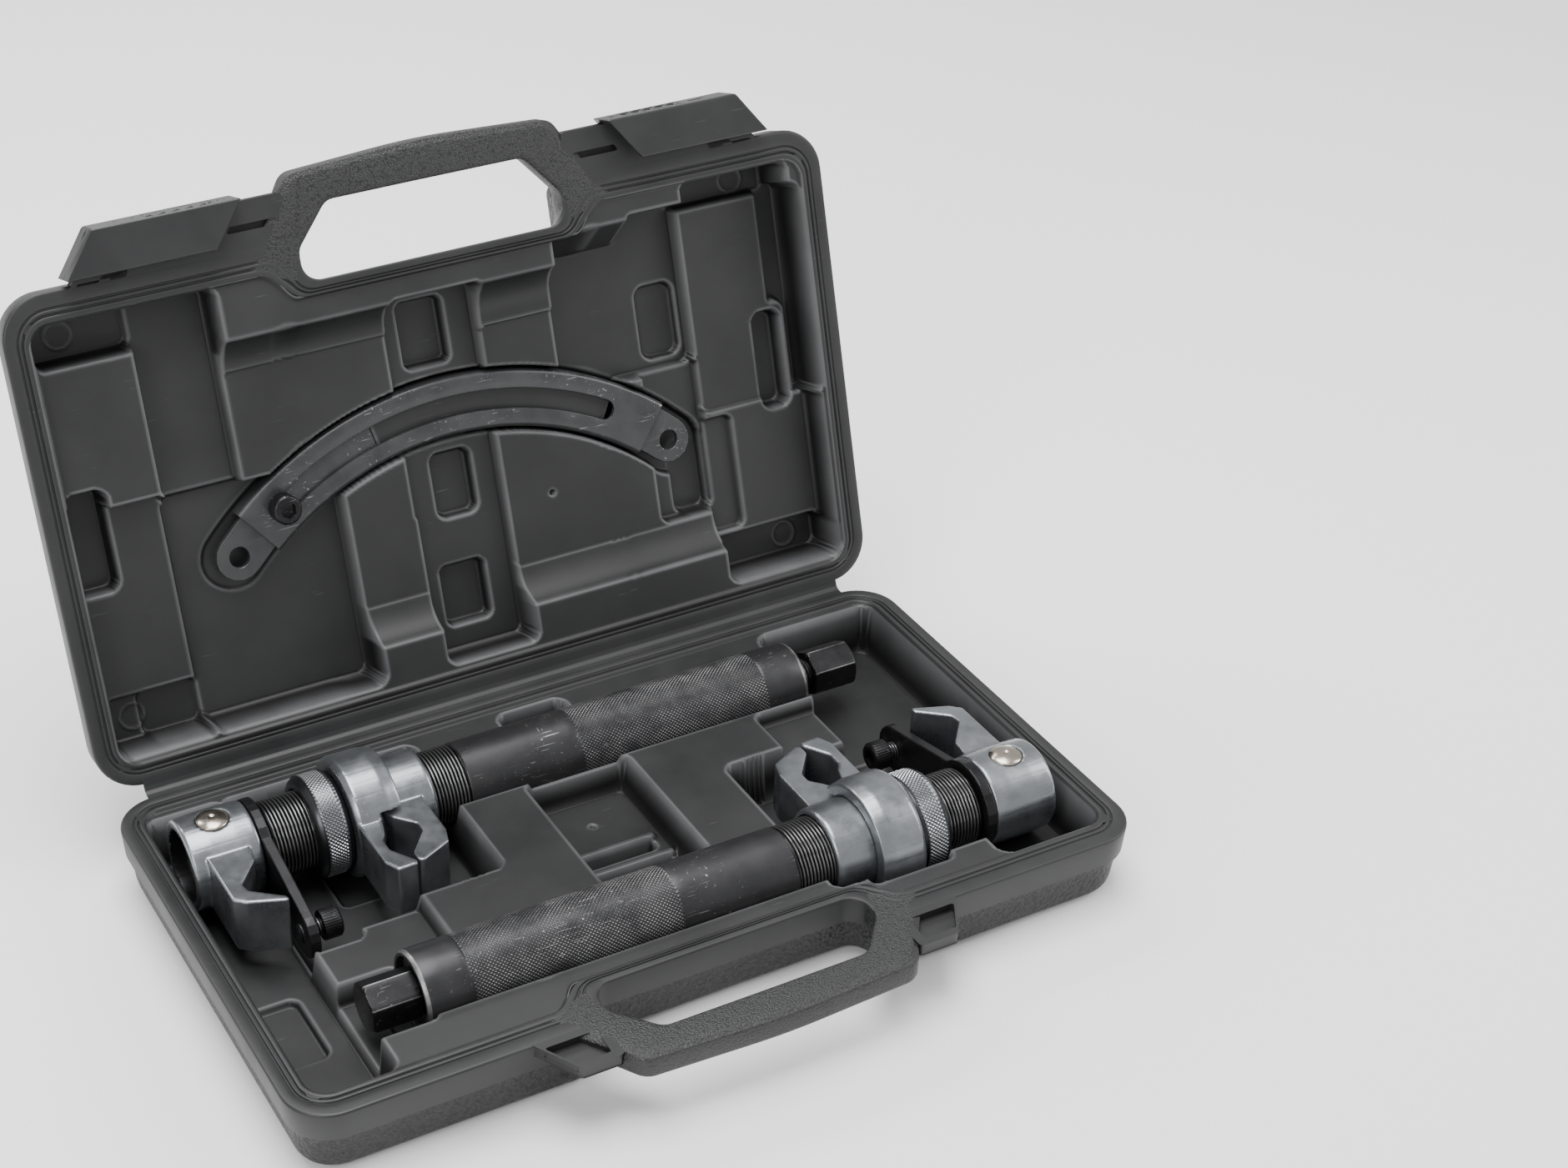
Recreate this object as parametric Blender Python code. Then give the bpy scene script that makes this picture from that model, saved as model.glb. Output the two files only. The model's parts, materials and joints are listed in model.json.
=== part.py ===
"""Coil spring compressor kit: two spindles and a curved link bar in their hinged case."""
import math

import bmesh
import bpy
from mathutils import Matrix, Vector

MM = 0.001

# Case. All lengths below are in millimetres.
CASE_W = 470.0
CASE_D = 262.0
BASE_H = 42.0
LID_H = 38.0
CORNER_R = 24.0
RIM_GAP = 0.3
WALL = 1.7
HINGE_Y = 135.25
OPEN_DEG = 108.0
HANDLE_T = 14.0
RAIL_T = 7.0

# Spindles. X runs from the head's end face towards the hexagon.
AXIS_Z = 37.0
REAR_Y = 75.0
FRONT_Y = -65.5
REAR_X = -214.5
FRONT_X = 208.5
TUBE_R = 21.15
THREAD_R = 20.85
TUBE_BORE_R = 15.3
TUBE_START = 43.6
THREAD_END = 154.0
TUBE_END = 359.0
ROD_R = 15.0
ROD_END = 300.0
HEX_FLATS = 24.0
HEX_LEN = 26.0
PLATE_TILT_DEG = 7.0
JAW_HALF = 16.0

# Link bar, drawn as an arc about a centre below it.
BAR_R = 190.0
BAR_X = 0.0
BAR_S = 156.0
BAR_W = 32.0
BAR_T = 12.0
BAR_SHEET = 2.6


def clear_scene():
    for obj in list(bpy.data.objects):
        bpy.data.objects.remove(obj, do_unlink=True)


def material(name, color, metallic, roughness):
    mat = bpy.data.materials.new(name)
    mat.use_nodes = True
    shader = mat.node_tree.nodes["Principled BSDF"]
    shader.inputs["Base Color"].default_value = (*color, 1.0)
    shader.inputs["Metallic"].default_value = metallic
    shader.inputs["Roughness"].default_value = roughness
    mat.diffuse_color = (*color, 1.0)
    return mat


def mesh_object(name, points, faces):
    mesh = bpy.data.meshes.new(name)
    mesh.from_pydata([Vector(p) * MM for p in points], [], faces)
    work = bmesh.new()
    work.from_mesh(mesh)
    bmesh.ops.remove_doubles(work, verts=work.verts, dist=1e-7)
    bmesh.ops.recalc_face_normals(work, faces=work.faces)
    work.to_mesh(mesh)
    work.free()
    obj = bpy.data.objects.new(name, mesh)
    bpy.context.scene.collection.objects.link(obj)
    return obj


def stack(name, rings, ring_shaped=False):
    """Joins rings of equally many points, then caps both ends, or closes on itself."""
    count = len(rings[0])
    points = [p for ring in rings for p in ring]
    faces = []
    spans = len(rings) if ring_shaped else len(rings) - 1
    for i in range(spans):
        a = i * count
        b = ((i + 1) % len(rings)) * count
        for j in range(count):
            k = (j + 1) % count
            faces.append((a + j, a + k, b + k, b + j))
    if not ring_shaped:
        faces.append(tuple(range(count)))
        faces.append(tuple(range(len(points) - count, len(points))))
    return mesh_object(name, points, faces)


def rounded(corners, radius, steps=3):
    """Outline of a polygon with its corners rounded. A corner may give its own radius."""
    out = []
    n = len(corners)
    for i, corner in enumerate(corners):
        here = Vector(corner[:2])
        before = (Vector(corners[i - 1][:2]) - here)
        after = (Vector(corners[(i + 1) % n][:2]) - here)
        r = corner[2] if len(corner) > 2 else radius
        if r <= 0:
            out.append((here.x, here.y))
            continue
        angle = before.angle(after)
        reach = min(r / math.tan(angle / 2), before.length * 0.48, after.length * 0.48)
        real_r = reach * math.tan(angle / 2)
        middle = here + (before.normalized() + after.normalized()).normalized() * (
            real_r / math.sin(angle / 2))
        start = here + before.normalized() * reach - middle
        end = here + after.normalized() * reach - middle
        turn = start.angle_signed(end)
        for s in range(steps + 1):
            # angle_signed is clockwise positive, so the turn is taken the other way.
            a = -turn * s / steps
            out.append((middle.x + start.x * math.cos(a) - start.y * math.sin(a),
                        middle.y + start.x * math.sin(a) + start.y * math.cos(a)))
    return out


def box_outline(x0, x1, y0, y1, radius, steps=3):
    return rounded([(x0, y0), (x1, y0), (x1, y1), (x0, y1)], radius, steps)


def prism(name, outline, z0, z1):
    return stack(name, [[(x, y, z) for x, y in outline] for z in (z0, z1)])


def revolve(name, profile, segments=28, ring_shaped=True):
    """Turns (x, r) points about the X axis. A solid bar starts and ends on the axis side."""
    rings = []
    for x, r in profile:
        rings.append([(x, r * math.cos(2 * math.pi * i / segments),
                       r * math.sin(2 * math.pi * i / segments))
                      for i in range(segments)])
    return stack(name, rings, ring_shaped)


def profile_block(name, outline, half):
    """Extrudes an (x, y) outline from z = -half to z = +half."""
    return prism(name, outline, -half, half)


def cylinder(name, centre, radius, length, axis="Z", segments=24):
    rings = []
    for offset in (-length / 2, length / 2):
        ring = []
        for i in range(segments):
            a = 2 * math.pi * i / segments
            u, v = radius * math.cos(a), radius * math.sin(a)
            p = {"X": (offset, u, v), "Y": (u, offset, v), "Z": (u, v, offset)}[axis]
            ring.append(tuple(c + d for c, d in zip(centre, p)))
        rings.append(ring)
    return stack(name, rings)


def combine(target, others, operation, self_cross=False):
    """Boolean of target with one or more helpers, applied at once; helpers are removed."""
    if len(others) > 1:
        joined = bmesh.new()
        for other in others:
            joined.from_mesh(other.data)
        mesh = bpy.data.meshes.new("helper")
        joined.to_mesh(mesh)
        joined.free()
        helper = bpy.data.objects.new("helper", mesh)
        bpy.context.scene.collection.objects.link(helper)
        for other in others:
            bpy.data.objects.remove(other, do_unlink=True)
    else:
        helper = others[0]
    mod = target.modifiers.new("combine", "BOOLEAN")
    mod.operation = operation
    mod.solver = "EXACT"
    mod.use_self = self_cross
    mod.object = helper
    bpy.context.view_layer.update()
    graph = bpy.context.evaluated_depsgraph_get()
    mesh = bpy.data.meshes.new_from_object(target.evaluated_get(graph))
    target.modifiers.clear()
    target.data = mesh
    bpy.data.objects.remove(helper, do_unlink=True)
    return target


def tidy(obj):
    work = bmesh.new()
    work.from_mesh(obj.data)
    bmesh.ops.remove_doubles(work, verts=work.verts, dist=2e-6)
    bmesh.ops.dissolve_limit(work, angle_limit=math.radians(0.4), verts=work.verts,
                             edges=work.edges)
    bmesh.ops.triangulate(work, faces=work.faces)
    bmesh.ops.recalc_face_normals(work, faces=work.faces)
    work.to_mesh(obj.data)
    work.free()
    return obj


def finish(obj, name, mat, place=None):
    obj.name = name
    obj.data.name = name
    if place is not None:
        obj.data.transform(place)
    obj.data.materials.clear()
    obj.data.materials.append(mat)
    for poly in obj.data.polygons:
        poly.use_smooth = False
    return obj


# ---------------------------------------------------------------- case halves
def shell_rings(levels):
    """Rounded-rectangle rings; each level is (z, inset from the rim)."""
    rings = []
    for z, inset in levels:
        outline = box_outline(-CASE_W / 2 + inset, CASE_W / 2 - inset,
                              -CASE_D / 2 + inset, CASE_D / 2 - inset,
                              max(CORNER_R - inset * 0.6, 6), 4)
        rings.append([(x, y, z) for x, y in outline])
    return rings


HANDLE_OUTER = [(-100, -124, 0), (-81, -150, 3), (-73, -163.5, 8), (0, -167, 0),
                (73, -163.5, 8), (81, -150, 3), (100, -124, 0)]


def handle_hole(grow):
    g = grow
    return rounded([(-75 - g, -107 + g), (75 + g, -107 + g), (75 + g, -123 - g * 0.4),
                    (56 + g * 0.4, -146 - g), (-56 - g * 0.4, -146 - g),
                    (-75 - g, -123 - g * 0.4)], 10 + g, 3)


def slanted(sign, x_out, x_in, y0, y1, slope_out, slope_in):
    """Four-sided outline whose ends lean towards the handle; sign is -1 on the left."""
    lean_out = slope_out * (y0 - y1)
    lean_in = slope_in * (y0 - y1)
    points = [(sign * x_out, y0), (sign * (x_out - lean_out), y1),
              (sign * (x_in - lean_in), y1), (sign * x_in, y0)]
    return points if sign > 0 else points[::-1]


def trough(y, z, radius, x0, x1, top, segments=9):
    """Half-round seat along X, with upright sides to the given height."""
    ring = []
    for i in range(segments):
        a = math.pi + math.pi * i / (segments - 1)
        ring.append((y + radius * math.cos(a), z + radius * math.sin(a)))
    ring += [(y + radius, top), (y - radius, top)]
    return stack("seat", [[(x, u, v) for u, v in ring] for x in (x0, x1)])


BASE_POCKETS = [
    # x0, x1, y0, y1, floor height, corner radius
    (-221.0, -178.0, -113.0, 112.0, 9.5, 7),
    (-178.5, -150.0, -10.0, 112.0, 9.5, 5),
    (-176.0, -71.0, -3.0, 112.0, 7.5, 5),
    (-141.5, -95.0, 40.0, 111.0, 3.6, 0),
    (-221.0, -191.0, -60.0, -15.0, 6.0, 5),
    (-179.0, -118.0, -42.0, -2.0, 30.0, 5),
    (-184.0, -146.5, -90.0, -38.0, 17.0, 5),
    (-31.0, 27.0, -40.0, 52.0, 13.0, 5),
    (107.0, 159.0, 3.0, 50.0, 30.0, 5),
    (146.0, 219.5, -3.5, 114.0, 9.5, 7),
    (160.0, 219.5, -112.0, 14.0, 9.5, 7),
    (70.0, 166.0, -96.0, 17.0, 7.5, 5),
    (88.0, 135.5, -101.5, -34.0, 3.6, 0),
    (-18.0, 20.0, 96.0, 114.0, 14.0, 5),
]


def base_cutters(grow):
    """The pockets of the base; grown by one wall they give the room taken by the liner."""
    cutters = []
    recess = rounded([(-221.5, -115.0), (-96, -115.0, 9), (-80, -99.5, 9), (80, -99.5, 9),
                      (96, -115.0, 9), (221.5, -115.0), (221.5, 119.0), (-221.5, 119.0)],
                     12, 3)
    if grow == 0:
        cutters.append(prism("recess", recess, BASE_H - 2.0, BASE_H + 3))
    else:
        wide = rounded([(-221.5 - grow, -115.0 - grow), (-96 + grow, -115.0 - grow, 9),
                        (-80 + grow, -99.5 - grow, 9), (80 - grow, -99.5 - grow, 9),
                        (96 - grow, -115.0 - grow, 9), (221.5 + grow, -115.0 - grow),
                        (221.5 + grow, 119.0 + grow), (-221.5 - grow, 119.0 + grow)], 12, 3)
        cutters.append(prism("recess", wide, BASE_H - 2.0 - grow, BASE_H + 3))
    for x0, x1, y0, y1, floor, radius in BASE_POCKETS:
        outline = box_outline(x0 - grow, x1 + grow, y0 - grow, y1 + grow,
                              max(radius, 2) + grow, 2)
        cutters.append(prism("pocket", outline, floor - grow, BASE_H + 2.5))
    for y, x0, x1 in ((REAR_Y, -73.0, 148.0), (FRONT_Y, -161.0, 72.0)):
        cutters.append(trough(y, AXIS_Z, TUBE_R + 0.5 + grow, x0 - grow, x1 + grow,
                              BASE_H + 2.2))
    return cutters


def build_base(mat):
    body = stack("base", shell_rings([(0, 13), (1.2, 9), (4, 6.2), (10, 4.6), (25, 3.2),
                                      (25.4, 1.4), (40.8, 0.6), (BASE_H, 1.2)]))
    handle = prism("handle", rounded(HANDLE_OUTER, 3, 3), BASE_H - HANDLE_T, BASE_H)
    adds = [handle]
    for sign in (-1, 1):
        adds.append(prism("keeper", slanted(sign, 119, 82, -126, -154, 0.57, 0.0),
                          BASE_H - RAIL_T, BASE_H - 0.02))
    combine(body, adds, "UNION", True)
    void = stack("void", shell_rings([(WALL, 15), (4, 9.4), (10, 6.6), (25, 5.2),
                                      (25.4, 4.2), (38.4, 3.6)]))
    grown = base_cutters(WALL)
    grown.append(prism("hole", handle_hole(WALL + 0.4), -5, 60))
    combine(void, grown, "DIFFERENCE", True)
    cutters = base_cutters(0)
    cutters.append(prism("hole", handle_hole(0), -5, 60))
    for sign in (-1, 1):
        cutters.append(prism("catch", slanted(sign, 114.5, 86, -134, -151, 0.57, 0.0),
                             BASE_H - 5, BASE_H + 4))
    combine(body, cutters, "DIFFERENCE", True)
    combine(body, [void], "DIFFERENCE")
    combine(body, [cylinder("needle", (-50, 12, 38), 1.6, 9, "Z", 12)], "DIFFERENCE")
    return finish(tidy(body), "case_base", mat)


LID_POCKETS = [
    # x0, x1, s0, s1, depth, corner radius; s runs from the hinge towards the handle
    (-219.0, -166.0, 20.0, 150.0, 22.0, 6),
    (-219.0, -166.0, 148.0, 252.0, 11.0, 6),
    (-219.0, -165.0, 20.0, 46.0, 30.0, 6),
    (-219.0, -165.0, 226.0, 252.0, 30.0, 6),
    (-219.0, -197.0, 104.0, 160.0, 33.0, 6),
    (-167.0, -123.0, 140.0, 250.0, 26.0, 6),
    (-167.0, -69.0, 20.0, 145.0, 30.5, 6),
    (-124.0, -28.0, 100.0, 204.0, 17.5, 5),
    (-30.5, 23.0, 20.0, 222.0, 24.0, 5),
    (-20.0, 6.0, 34.0, 68.0, 32.0, 4),
    (-20.0, 6.0, 180.0, 216.0, 32.0, 4),
    (22.0, 121.0, 58.0, 196.0, 17.5, 5),
    (-70.0, -28.0, 58.0, 110.0, 17.5, 5),
    (67.0, 152.0, 146.0, 238.0, 30.5, 6),
    (116.0, 152.0, 60.0, 150.0, 26.0, 6),
    (147.0, 218.0, 20.0, 118.0, 20.0, 6),
    (151.0, 218.5, 116.0, 236.0, 22.0, 6),
    (147.0, 218.0, 20.0, 42.0, 31.0, 6),
    (147.0, 212.0, 232.0, 250.0, 31.0, 6),
    (191.0, 218.0, 110.0, 164.0, 32.5, 6),
]


def bar_outline(grow, half=BAR_W / 2, a0=-46.0, a1=46.0, steps=15):
    """Plan outline of the arched bar as (x, s) points."""
    outer, inner = [], []
    for i in range(steps + 1):
        a = math.radians(a0 + (a1 - a0) * i / steps)
        for r, side in ((BAR_R + half + grow, outer), (BAR_R - half - grow, inner)):
            side.append((BAR_X + r * math.sin(a), BAR_S - BAR_R + r * math.cos(a)))
    return outer + inner[::-1]


def lid_point(x, s, depth):
    """A point of the closed lid; depth is measured up from the mating plane."""
    return (x, HINGE_Y - s, BASE_H + RIM_GAP + depth)


def lid_prism(name, outline, depth0, depth1):
    return stack(name, [[lid_point(x, s, d) for x, s in outline] for d in (depth0, depth1)])


def lid_cutters(grow):
    cutters = []
    s_low, s_high = 16.0, 254.0
    g = grow
    recess = rounded([(-221 - g, s_low - g), (221 + g, s_low - g), (221 + g, s_high + g),
                      (101 - g, s_high + g, 9), (84 - g, 236.5 + g, 9),
                      (-84 + g, 236.5 + g, 9), (-101 + g, s_high + g, 9),
                      (-221 - g, s_high + g)], 12, 3)
    cutters.append(lid_prism("recess", recess, -3, 2.0 + g))
    for x0, x1, s0, s1, depth, radius in LID_POCKETS:
        outline = box_outline(x0 - g, x1 + g, s0 - g, s1 + g, radius + g, 2)
        cutters.append(lid_prism("pocket", outline, -2.5, depth + g))
    cutters.append(lid_prism("groove", bar_outline(1.6 + g, BAR_W / 2, -49.5, 49.5),
                             -2.2, 32.2 + g))
    seats = ((REAR_Y, -70.5, -29.5), (REAR_Y, 22.0, 150.0), (FRONT_Y, -161.0, 68.0))
    for y, x0, x1 in seats:
        cutters.append(cylinder("seat", ((x0 + x1) / 2, y, AXIS_Z), TUBE_R + 0.7 + g,
                                x1 - x0 + 2 * g, "X", 24))
    return cutters


def to_open(point_rotation=-OPEN_DEG):
    """Turns the lid group back about the hinge line from closed to open."""
    pivot = Vector((0, HINGE_Y, BASE_H)) * MM
    return (Matrix.Translation(pivot)
            @ Matrix.Rotation(math.radians(point_rotation), 4, "X")
            @ Matrix.Translation(-pivot))


def build_lid(mat):
    top = BASE_H + RIM_GAP
    levels = [(top + LID_H, 13), (top + LID_H - 1.2, 9), (top + LID_H - 4, 6.2),
              (top + LID_H - 10, 4.6), (top + 15.4, 3.2), (top + 15, 1.4),
              (top + 1.2, 0.6), (top, 1.2)]
    body = stack("lid", shell_rings(levels))
    adds = [prism("handle", rounded(HANDLE_OUTER, 3, 3), top, top + HANDLE_T)]
    for sign in (-1, 1):
        adds.append(prism("rail", slanted(sign, 192, 80, -126, -154, 0.72, 0.0),
                          top + 0.02, top + RAIL_T))
    combine(body, adds, "UNION", True)
    void = stack("void", shell_rings([(top + LID_H - WALL, 15), (top + LID_H - 4, 9.4),
                                      (top + LID_H - 10, 6.6), (top + 15.4, 5.2),
                                      (top + 15, 4.2), (top + 3.6, 3.6)]))
    grown = lid_cutters(WALL)
    grown.append(prism("hole", handle_hole(WALL + 0.4), 20, 100))
    combine(void, grown, "DIFFERENCE", True)
    cutters = lid_cutters(0)
    cutters.append(prism("hole", handle_hole(0), 20, 100))
    combine(body, cutters, "DIFFERENCE", True)
    combine(body, [void], "DIFFERENCE")
    combine(body, [cylinder("needle", (50, HINGE_Y - 96, top + 20), 1.8, 9, "Z", 12)],
            "DIFFERENCE")
    return finish(tidy(body), "case_lid", mat, to_open())


def build_latch(name, sign, mat):
    """Sliding catch of C section that grips the lid's rail and the base's keeper."""
    low, high = BASE_H - RAIL_T - 0.4, BASE_H + RIM_GAP + RAIL_T + 0.4
    section = [(-134.5, low - 1.9), (-157.4, low - 1.9), (-157.4, high + 1.9),
               (-134.5, high + 1.9), (-134.5, high), (-154.4, high), (-154.4, low),
               (-134.5, low)]
    rings = []
    for start in (198.5, 120.8):
        rings.append([(sign * (start + 0.75 * (y + 134.5)), y, z) for y, z in section])
    latch = stack(name, rings)
    return finish(tidy(latch), name, mat, to_open())


def build_hinge(mat):
    bead = cylinder("hinge", (0, HINGE_Y, BASE_H), 2.6, 400, "X", 16)
    return finish(tidy(bead), "hinge_web", mat)


# ---------------------------------------------------------------- spindles
def hex_ring(x, flats, count=24, shrink=1.0):
    ring = []
    for i in range(count):
        a = 2 * math.pi * i / count
        sector = (a + math.pi / 6) % (math.pi / 3) - math.pi / 6
        r = flats / 2 / math.cos(sector)
        r = min(r, flats / 2 * 1.1547 * shrink)
        ring.append((x, r * math.cos(a), r * math.sin(a)))
    return ring


def round_ring(x, r, count=24):
    return [(x, r * math.cos(2 * math.pi * i / count), r * math.sin(2 * math.pi * i / count))
            for i in range(count)]


def build_spindle(prefix, place, hex_start, mats):
    black, cast, nickel, oxide = mats

    tube = revolve("tube", [
        (TUBE_START, TUBE_BORE_R + 0.8), (TUBE_START + 0.8, TUBE_BORE_R),
        (338.0, TUBE_BORE_R), (338.0, 18.0), (TUBE_END, 18.0), (TUBE_END, 20.2),
        (TUBE_END - 2.2, TUBE_R), (THREAD_END + 0.6, TUBE_R), (THREAD_END, THREAD_R),
        (TUBE_START + 1.2, THREAD_R), (TUBE_START, THREAD_R - 1.2)], 28)
    finish(tidy(tube), prefix + "_tube", black, place)

    bearing = revolve("bearing", [(338.3, 9.7), (345.0, 9.7), (345.0, 17.7),
                                  (338.3, 17.7)], 20)
    finish(tidy(bearing), prefix + "_thrust_bearing", nickel, place)
    bush = revolve("bush", [(345.3, 9.7), (356.2, 9.7), (356.2, 17.2), (355.6, 17.7),
                            (345.3, 17.7)], 20)
    finish(tidy(bush), prefix + "_end_bush", oxide, place)

    shift = hex_start - 369.0
    rings = [round_ring(60 + shift, 7.6), round_ring(62 + shift, 9.0),
             round_ring(331 + shift, 9.0), round_ring(331 + shift, 14.6),
             round_ring(338 + shift, 14.6), round_ring(338 + shift, 9.0),
             round_ring(hex_start, 9.0), hex_ring(hex_start, HEX_FLATS, 24, 0.9),
             hex_ring(hex_start + 1.6, HEX_FLATS), hex_ring(hex_start + HEX_LEN - 1.8, HEX_FLATS),
             hex_ring(hex_start + HEX_LEN, HEX_FLATS, 24, 0.9)]
    screw = stack("screw", rings)
    finish(tidy(screw), prefix + "_drive_screw", oxide, place)

    rod = revolve("rod", [(9.6, 9.5), (ROD_END, 9.5), (ROD_END, ROD_R - 0.6),
                          (ROD_END - 0.6, ROD_R), (10.4, ROD_R), (9.6, ROD_R - 0.8)], 24)
    combine(rod, [cylinder("cross", (18.2, 0, 0), 5.3, 44, "Z", 16)], "DIFFERENCE")
    finish(tidy(rod), prefix + "_inner_rod", oxide, place)

    head = revolve("head", [(9.3, TUBE_BORE_R), (37.0, TUBE_BORE_R), (37.0, 23.6),
                            (36.0, 24.5), (26.0, 25.0), (12.0, 25.0), (1.2, 24.4),
                            (0.0, 23.2), (0.0, 19.4), (9.3, 18.6)], 28)
    arm = rounded([(7.5, 17), (7.5, 55), (13, 60), (33.2, 67.8), (32.6, 63.8),
                   (17.2, 51.5), (16.2, 45.5), (28.7, 30.6), (30.5, 17)], 1.2, 2)
    block = profile_block("arm", arm, JAW_HALF)
    web = revolve("web", [(0.5, 0.0001), (36.5, 0.0001), (36.5, 20.0), (0.5, 20.0)], 28)
    combine(block, [web], "DIFFERENCE")
    combine(head, [block], "UNION")
    seats = [cylinder("seat", (18.2, 0, z), 8.9, 6, "Z", 20) for z in (-25.6, 25.6)]
    seats.append(cylinder("cross", (18.2, 0, 0), 5.3, 60, "Z", 16))
    combine(head, seats, "DIFFERENCE", True)
    finish(tidy(head), prefix + "_head_jaw", cast, place)

    pin_rings = []
    for z, r in ((-26.2, 3.2), (-25.4, 6.6), (-22.9, 8.5), (-22.9, 5.0), (22.9, 5.0),
                 (22.9, 8.5), (25.4, 6.6), (26.2, 3.2)):
        pin_rings.append([(18.2 + r * math.cos(2 * math.pi * i / 16),
                           r * math.sin(2 * math.pi * i / 16), z) for i in range(16)])
    pin = stack("pin", pin_rings)
    finish(tidy(pin), prefix + "_cross_pin", nickel, place)

    tilt = Matrix.Rotation(math.radians(PLATE_TILT_DEG), 4, "X")
    outline = []
    for i in range(21):
        a = math.radians(50 + 260 * i / 20)
        outline.append((24.5 * math.cos(a), 24.5 * math.sin(a)))
    for i in range(9):
        a = math.radians(-80 + 160 * i / 8)
        outline.append((68.0 + 13.0 * math.cos(a), 13.0 * math.sin(a)))
    plate = stack("plate", [[(x, y, z) for y, z in outline] for x in (37.3, 42.9)])
    holes = [cylinder("bore", (40, 0, 0), ROD_R + 0.5, 12, "X", 28),
             cylinder("hole", (40, 66.5, 0), 5.3, 12, "X", 16)]
    combine(plate, holes, "DIFFERENCE")
    finish(tidy(plate), prefix + "_lock_plate", oxide, place @ tilt)

    bolt_rings = []
    for x, r in ((35.6, 4.0), (36.6, 5.0), (48.0, 5.0), (48.0, 8.0), (57.2, 8.0),
                 (58.0, 7.2)):
        bolt_rings.append([(x, 66.5 + r * math.cos(2 * math.pi * i / 20),
                            r * math.sin(2 * math.pi * i / 20)) for i in range(20)])
    bolt = stack("bolt", bolt_rings)
    socket = stack("socket", [[(x, 66.5 + y, z) for _, y, z in hex_ring(0, 8.0, 6)]
                              for x in (52.6, 60.0)])
    combine(bolt, [socket], "DIFFERENCE")
    finish(tidy(bolt), prefix + "_lock_screw", oxide, place @ tilt)

    nut = revolve("nut", [(66.0, 21.9), (66.9, 21.2), (84.1, 21.2), (85.0, 21.9),
                          (85.0, 26.4), (83.0, 28.0), (68.0, 28.0), (66.0, 26.4)], 28)
    finish(tidy(nut), prefix + "_ring_nut", cast, place)

    ring = revolve("ring", [(85.3, 21.2), (92.0, 21.2), (92.0, 24.9), (111.5, 24.9),
                            (111.5, 31.6), (104.0, 33.0), (88.0, 33.0), (85.3, 31.0)], 28)
    combine(ring, [profile_block("arch", box_outline(98.4, 116, 8, 40, 0), 17.4)],
            "DIFFERENCE")
    arm = rounded([(86.0, 20), (86.0, 62), (90.0, 70.0), (100.8, 69.6), (101.3, 66.4),
                   (92.5, 53), (92.5, 44.5), (95.6, 40), (98.2, 31), (98.2, 20)], 0.8, 2)
    block = profile_block("arm", arm, 15.0)
    core = revolve("core", [(80.0, 0.0001), (120.0, 0.0001), (120.0, 27.0), (80.0, 27.0)], 28)
    combine(block, [core], "DIFFERENCE")
    combine(ring, [block], "UNION")
    finish(tidy(ring), prefix + "_ring_jaw", cast, place)

    hub = revolve("hub", [(92.4, 21.2), (133.0, 21.2), (133.0, 23.4), (131.4, 24.5),
                          (92.4, 24.5)], 28)
    arm = rounded([(125.0, 15), (125.0, 50), (122.0, 60), (104.5, 68.2), (102.2, 66.2),
                   (102.2, 60.4), (113.7, 46), (113.7, 39.5), (104.6, 29.5), (99.6, 15)],
                  0.8, 2)
    block = profile_block("arm", arm, 14.5)
    core = revolve("core", [(90.0, 0.0001), (130.0, 0.0001), (130.0, 22.6), (90.0, 22.6)], 28)
    combine(block, [core], "DIFFERENCE")
    combine(hub, [block], "UNION")
    finish(tidy(hub), prefix + "_hub_jaw", cast, place)


# ---------------------------------------------------------------- link bar
def arc_plate(name, half, a0, a1, depth0, depth1, round_start=False, round_end=False,
              steps=10):
    """Curved flat strip in the lid; its ends can be half-round."""
    outer, inner = [], []
    for i in range(steps + 1):
        a = math.radians(a0 + (a1 - a0) * i / steps)
        for r, side in ((BAR_R + half, outer), (BAR_R - half, inner)):
            side.append((BAR_X + r * math.sin(a), BAR_S - BAR_R + r * math.cos(a)))

    def cap(angle, direction):
        a = math.radians(angle)
        cx, cs = BAR_X + BAR_R * math.sin(a), BAR_S - BAR_R + BAR_R * math.cos(a)
        points = []
        for k in range(1, 8):
            t = math.pi * k / 8
            u, v = half * math.cos(t), direction * half * math.sin(t)
            points.append((cx + u * math.sin(a) + v * math.cos(a),
                           cs + u * math.cos(a) - v * math.sin(a)))
        return points

    end = cap(a1, 1) if round_end else []
    start = cap(a0, -1)[::-1] if round_start else []
    return lid_prism(name, outer + end + inner[::-1] + start, depth0, depth1)


def on_arc(angle):
    a = math.radians(angle)
    return BAR_X + BAR_R * math.sin(a), BAR_S - BAR_R + BAR_R * math.cos(a)


BAR_TOP = 19.4
SLIDER_A = -43.5
SCREW_A = -33.0
TAB_A = 42.5


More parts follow.
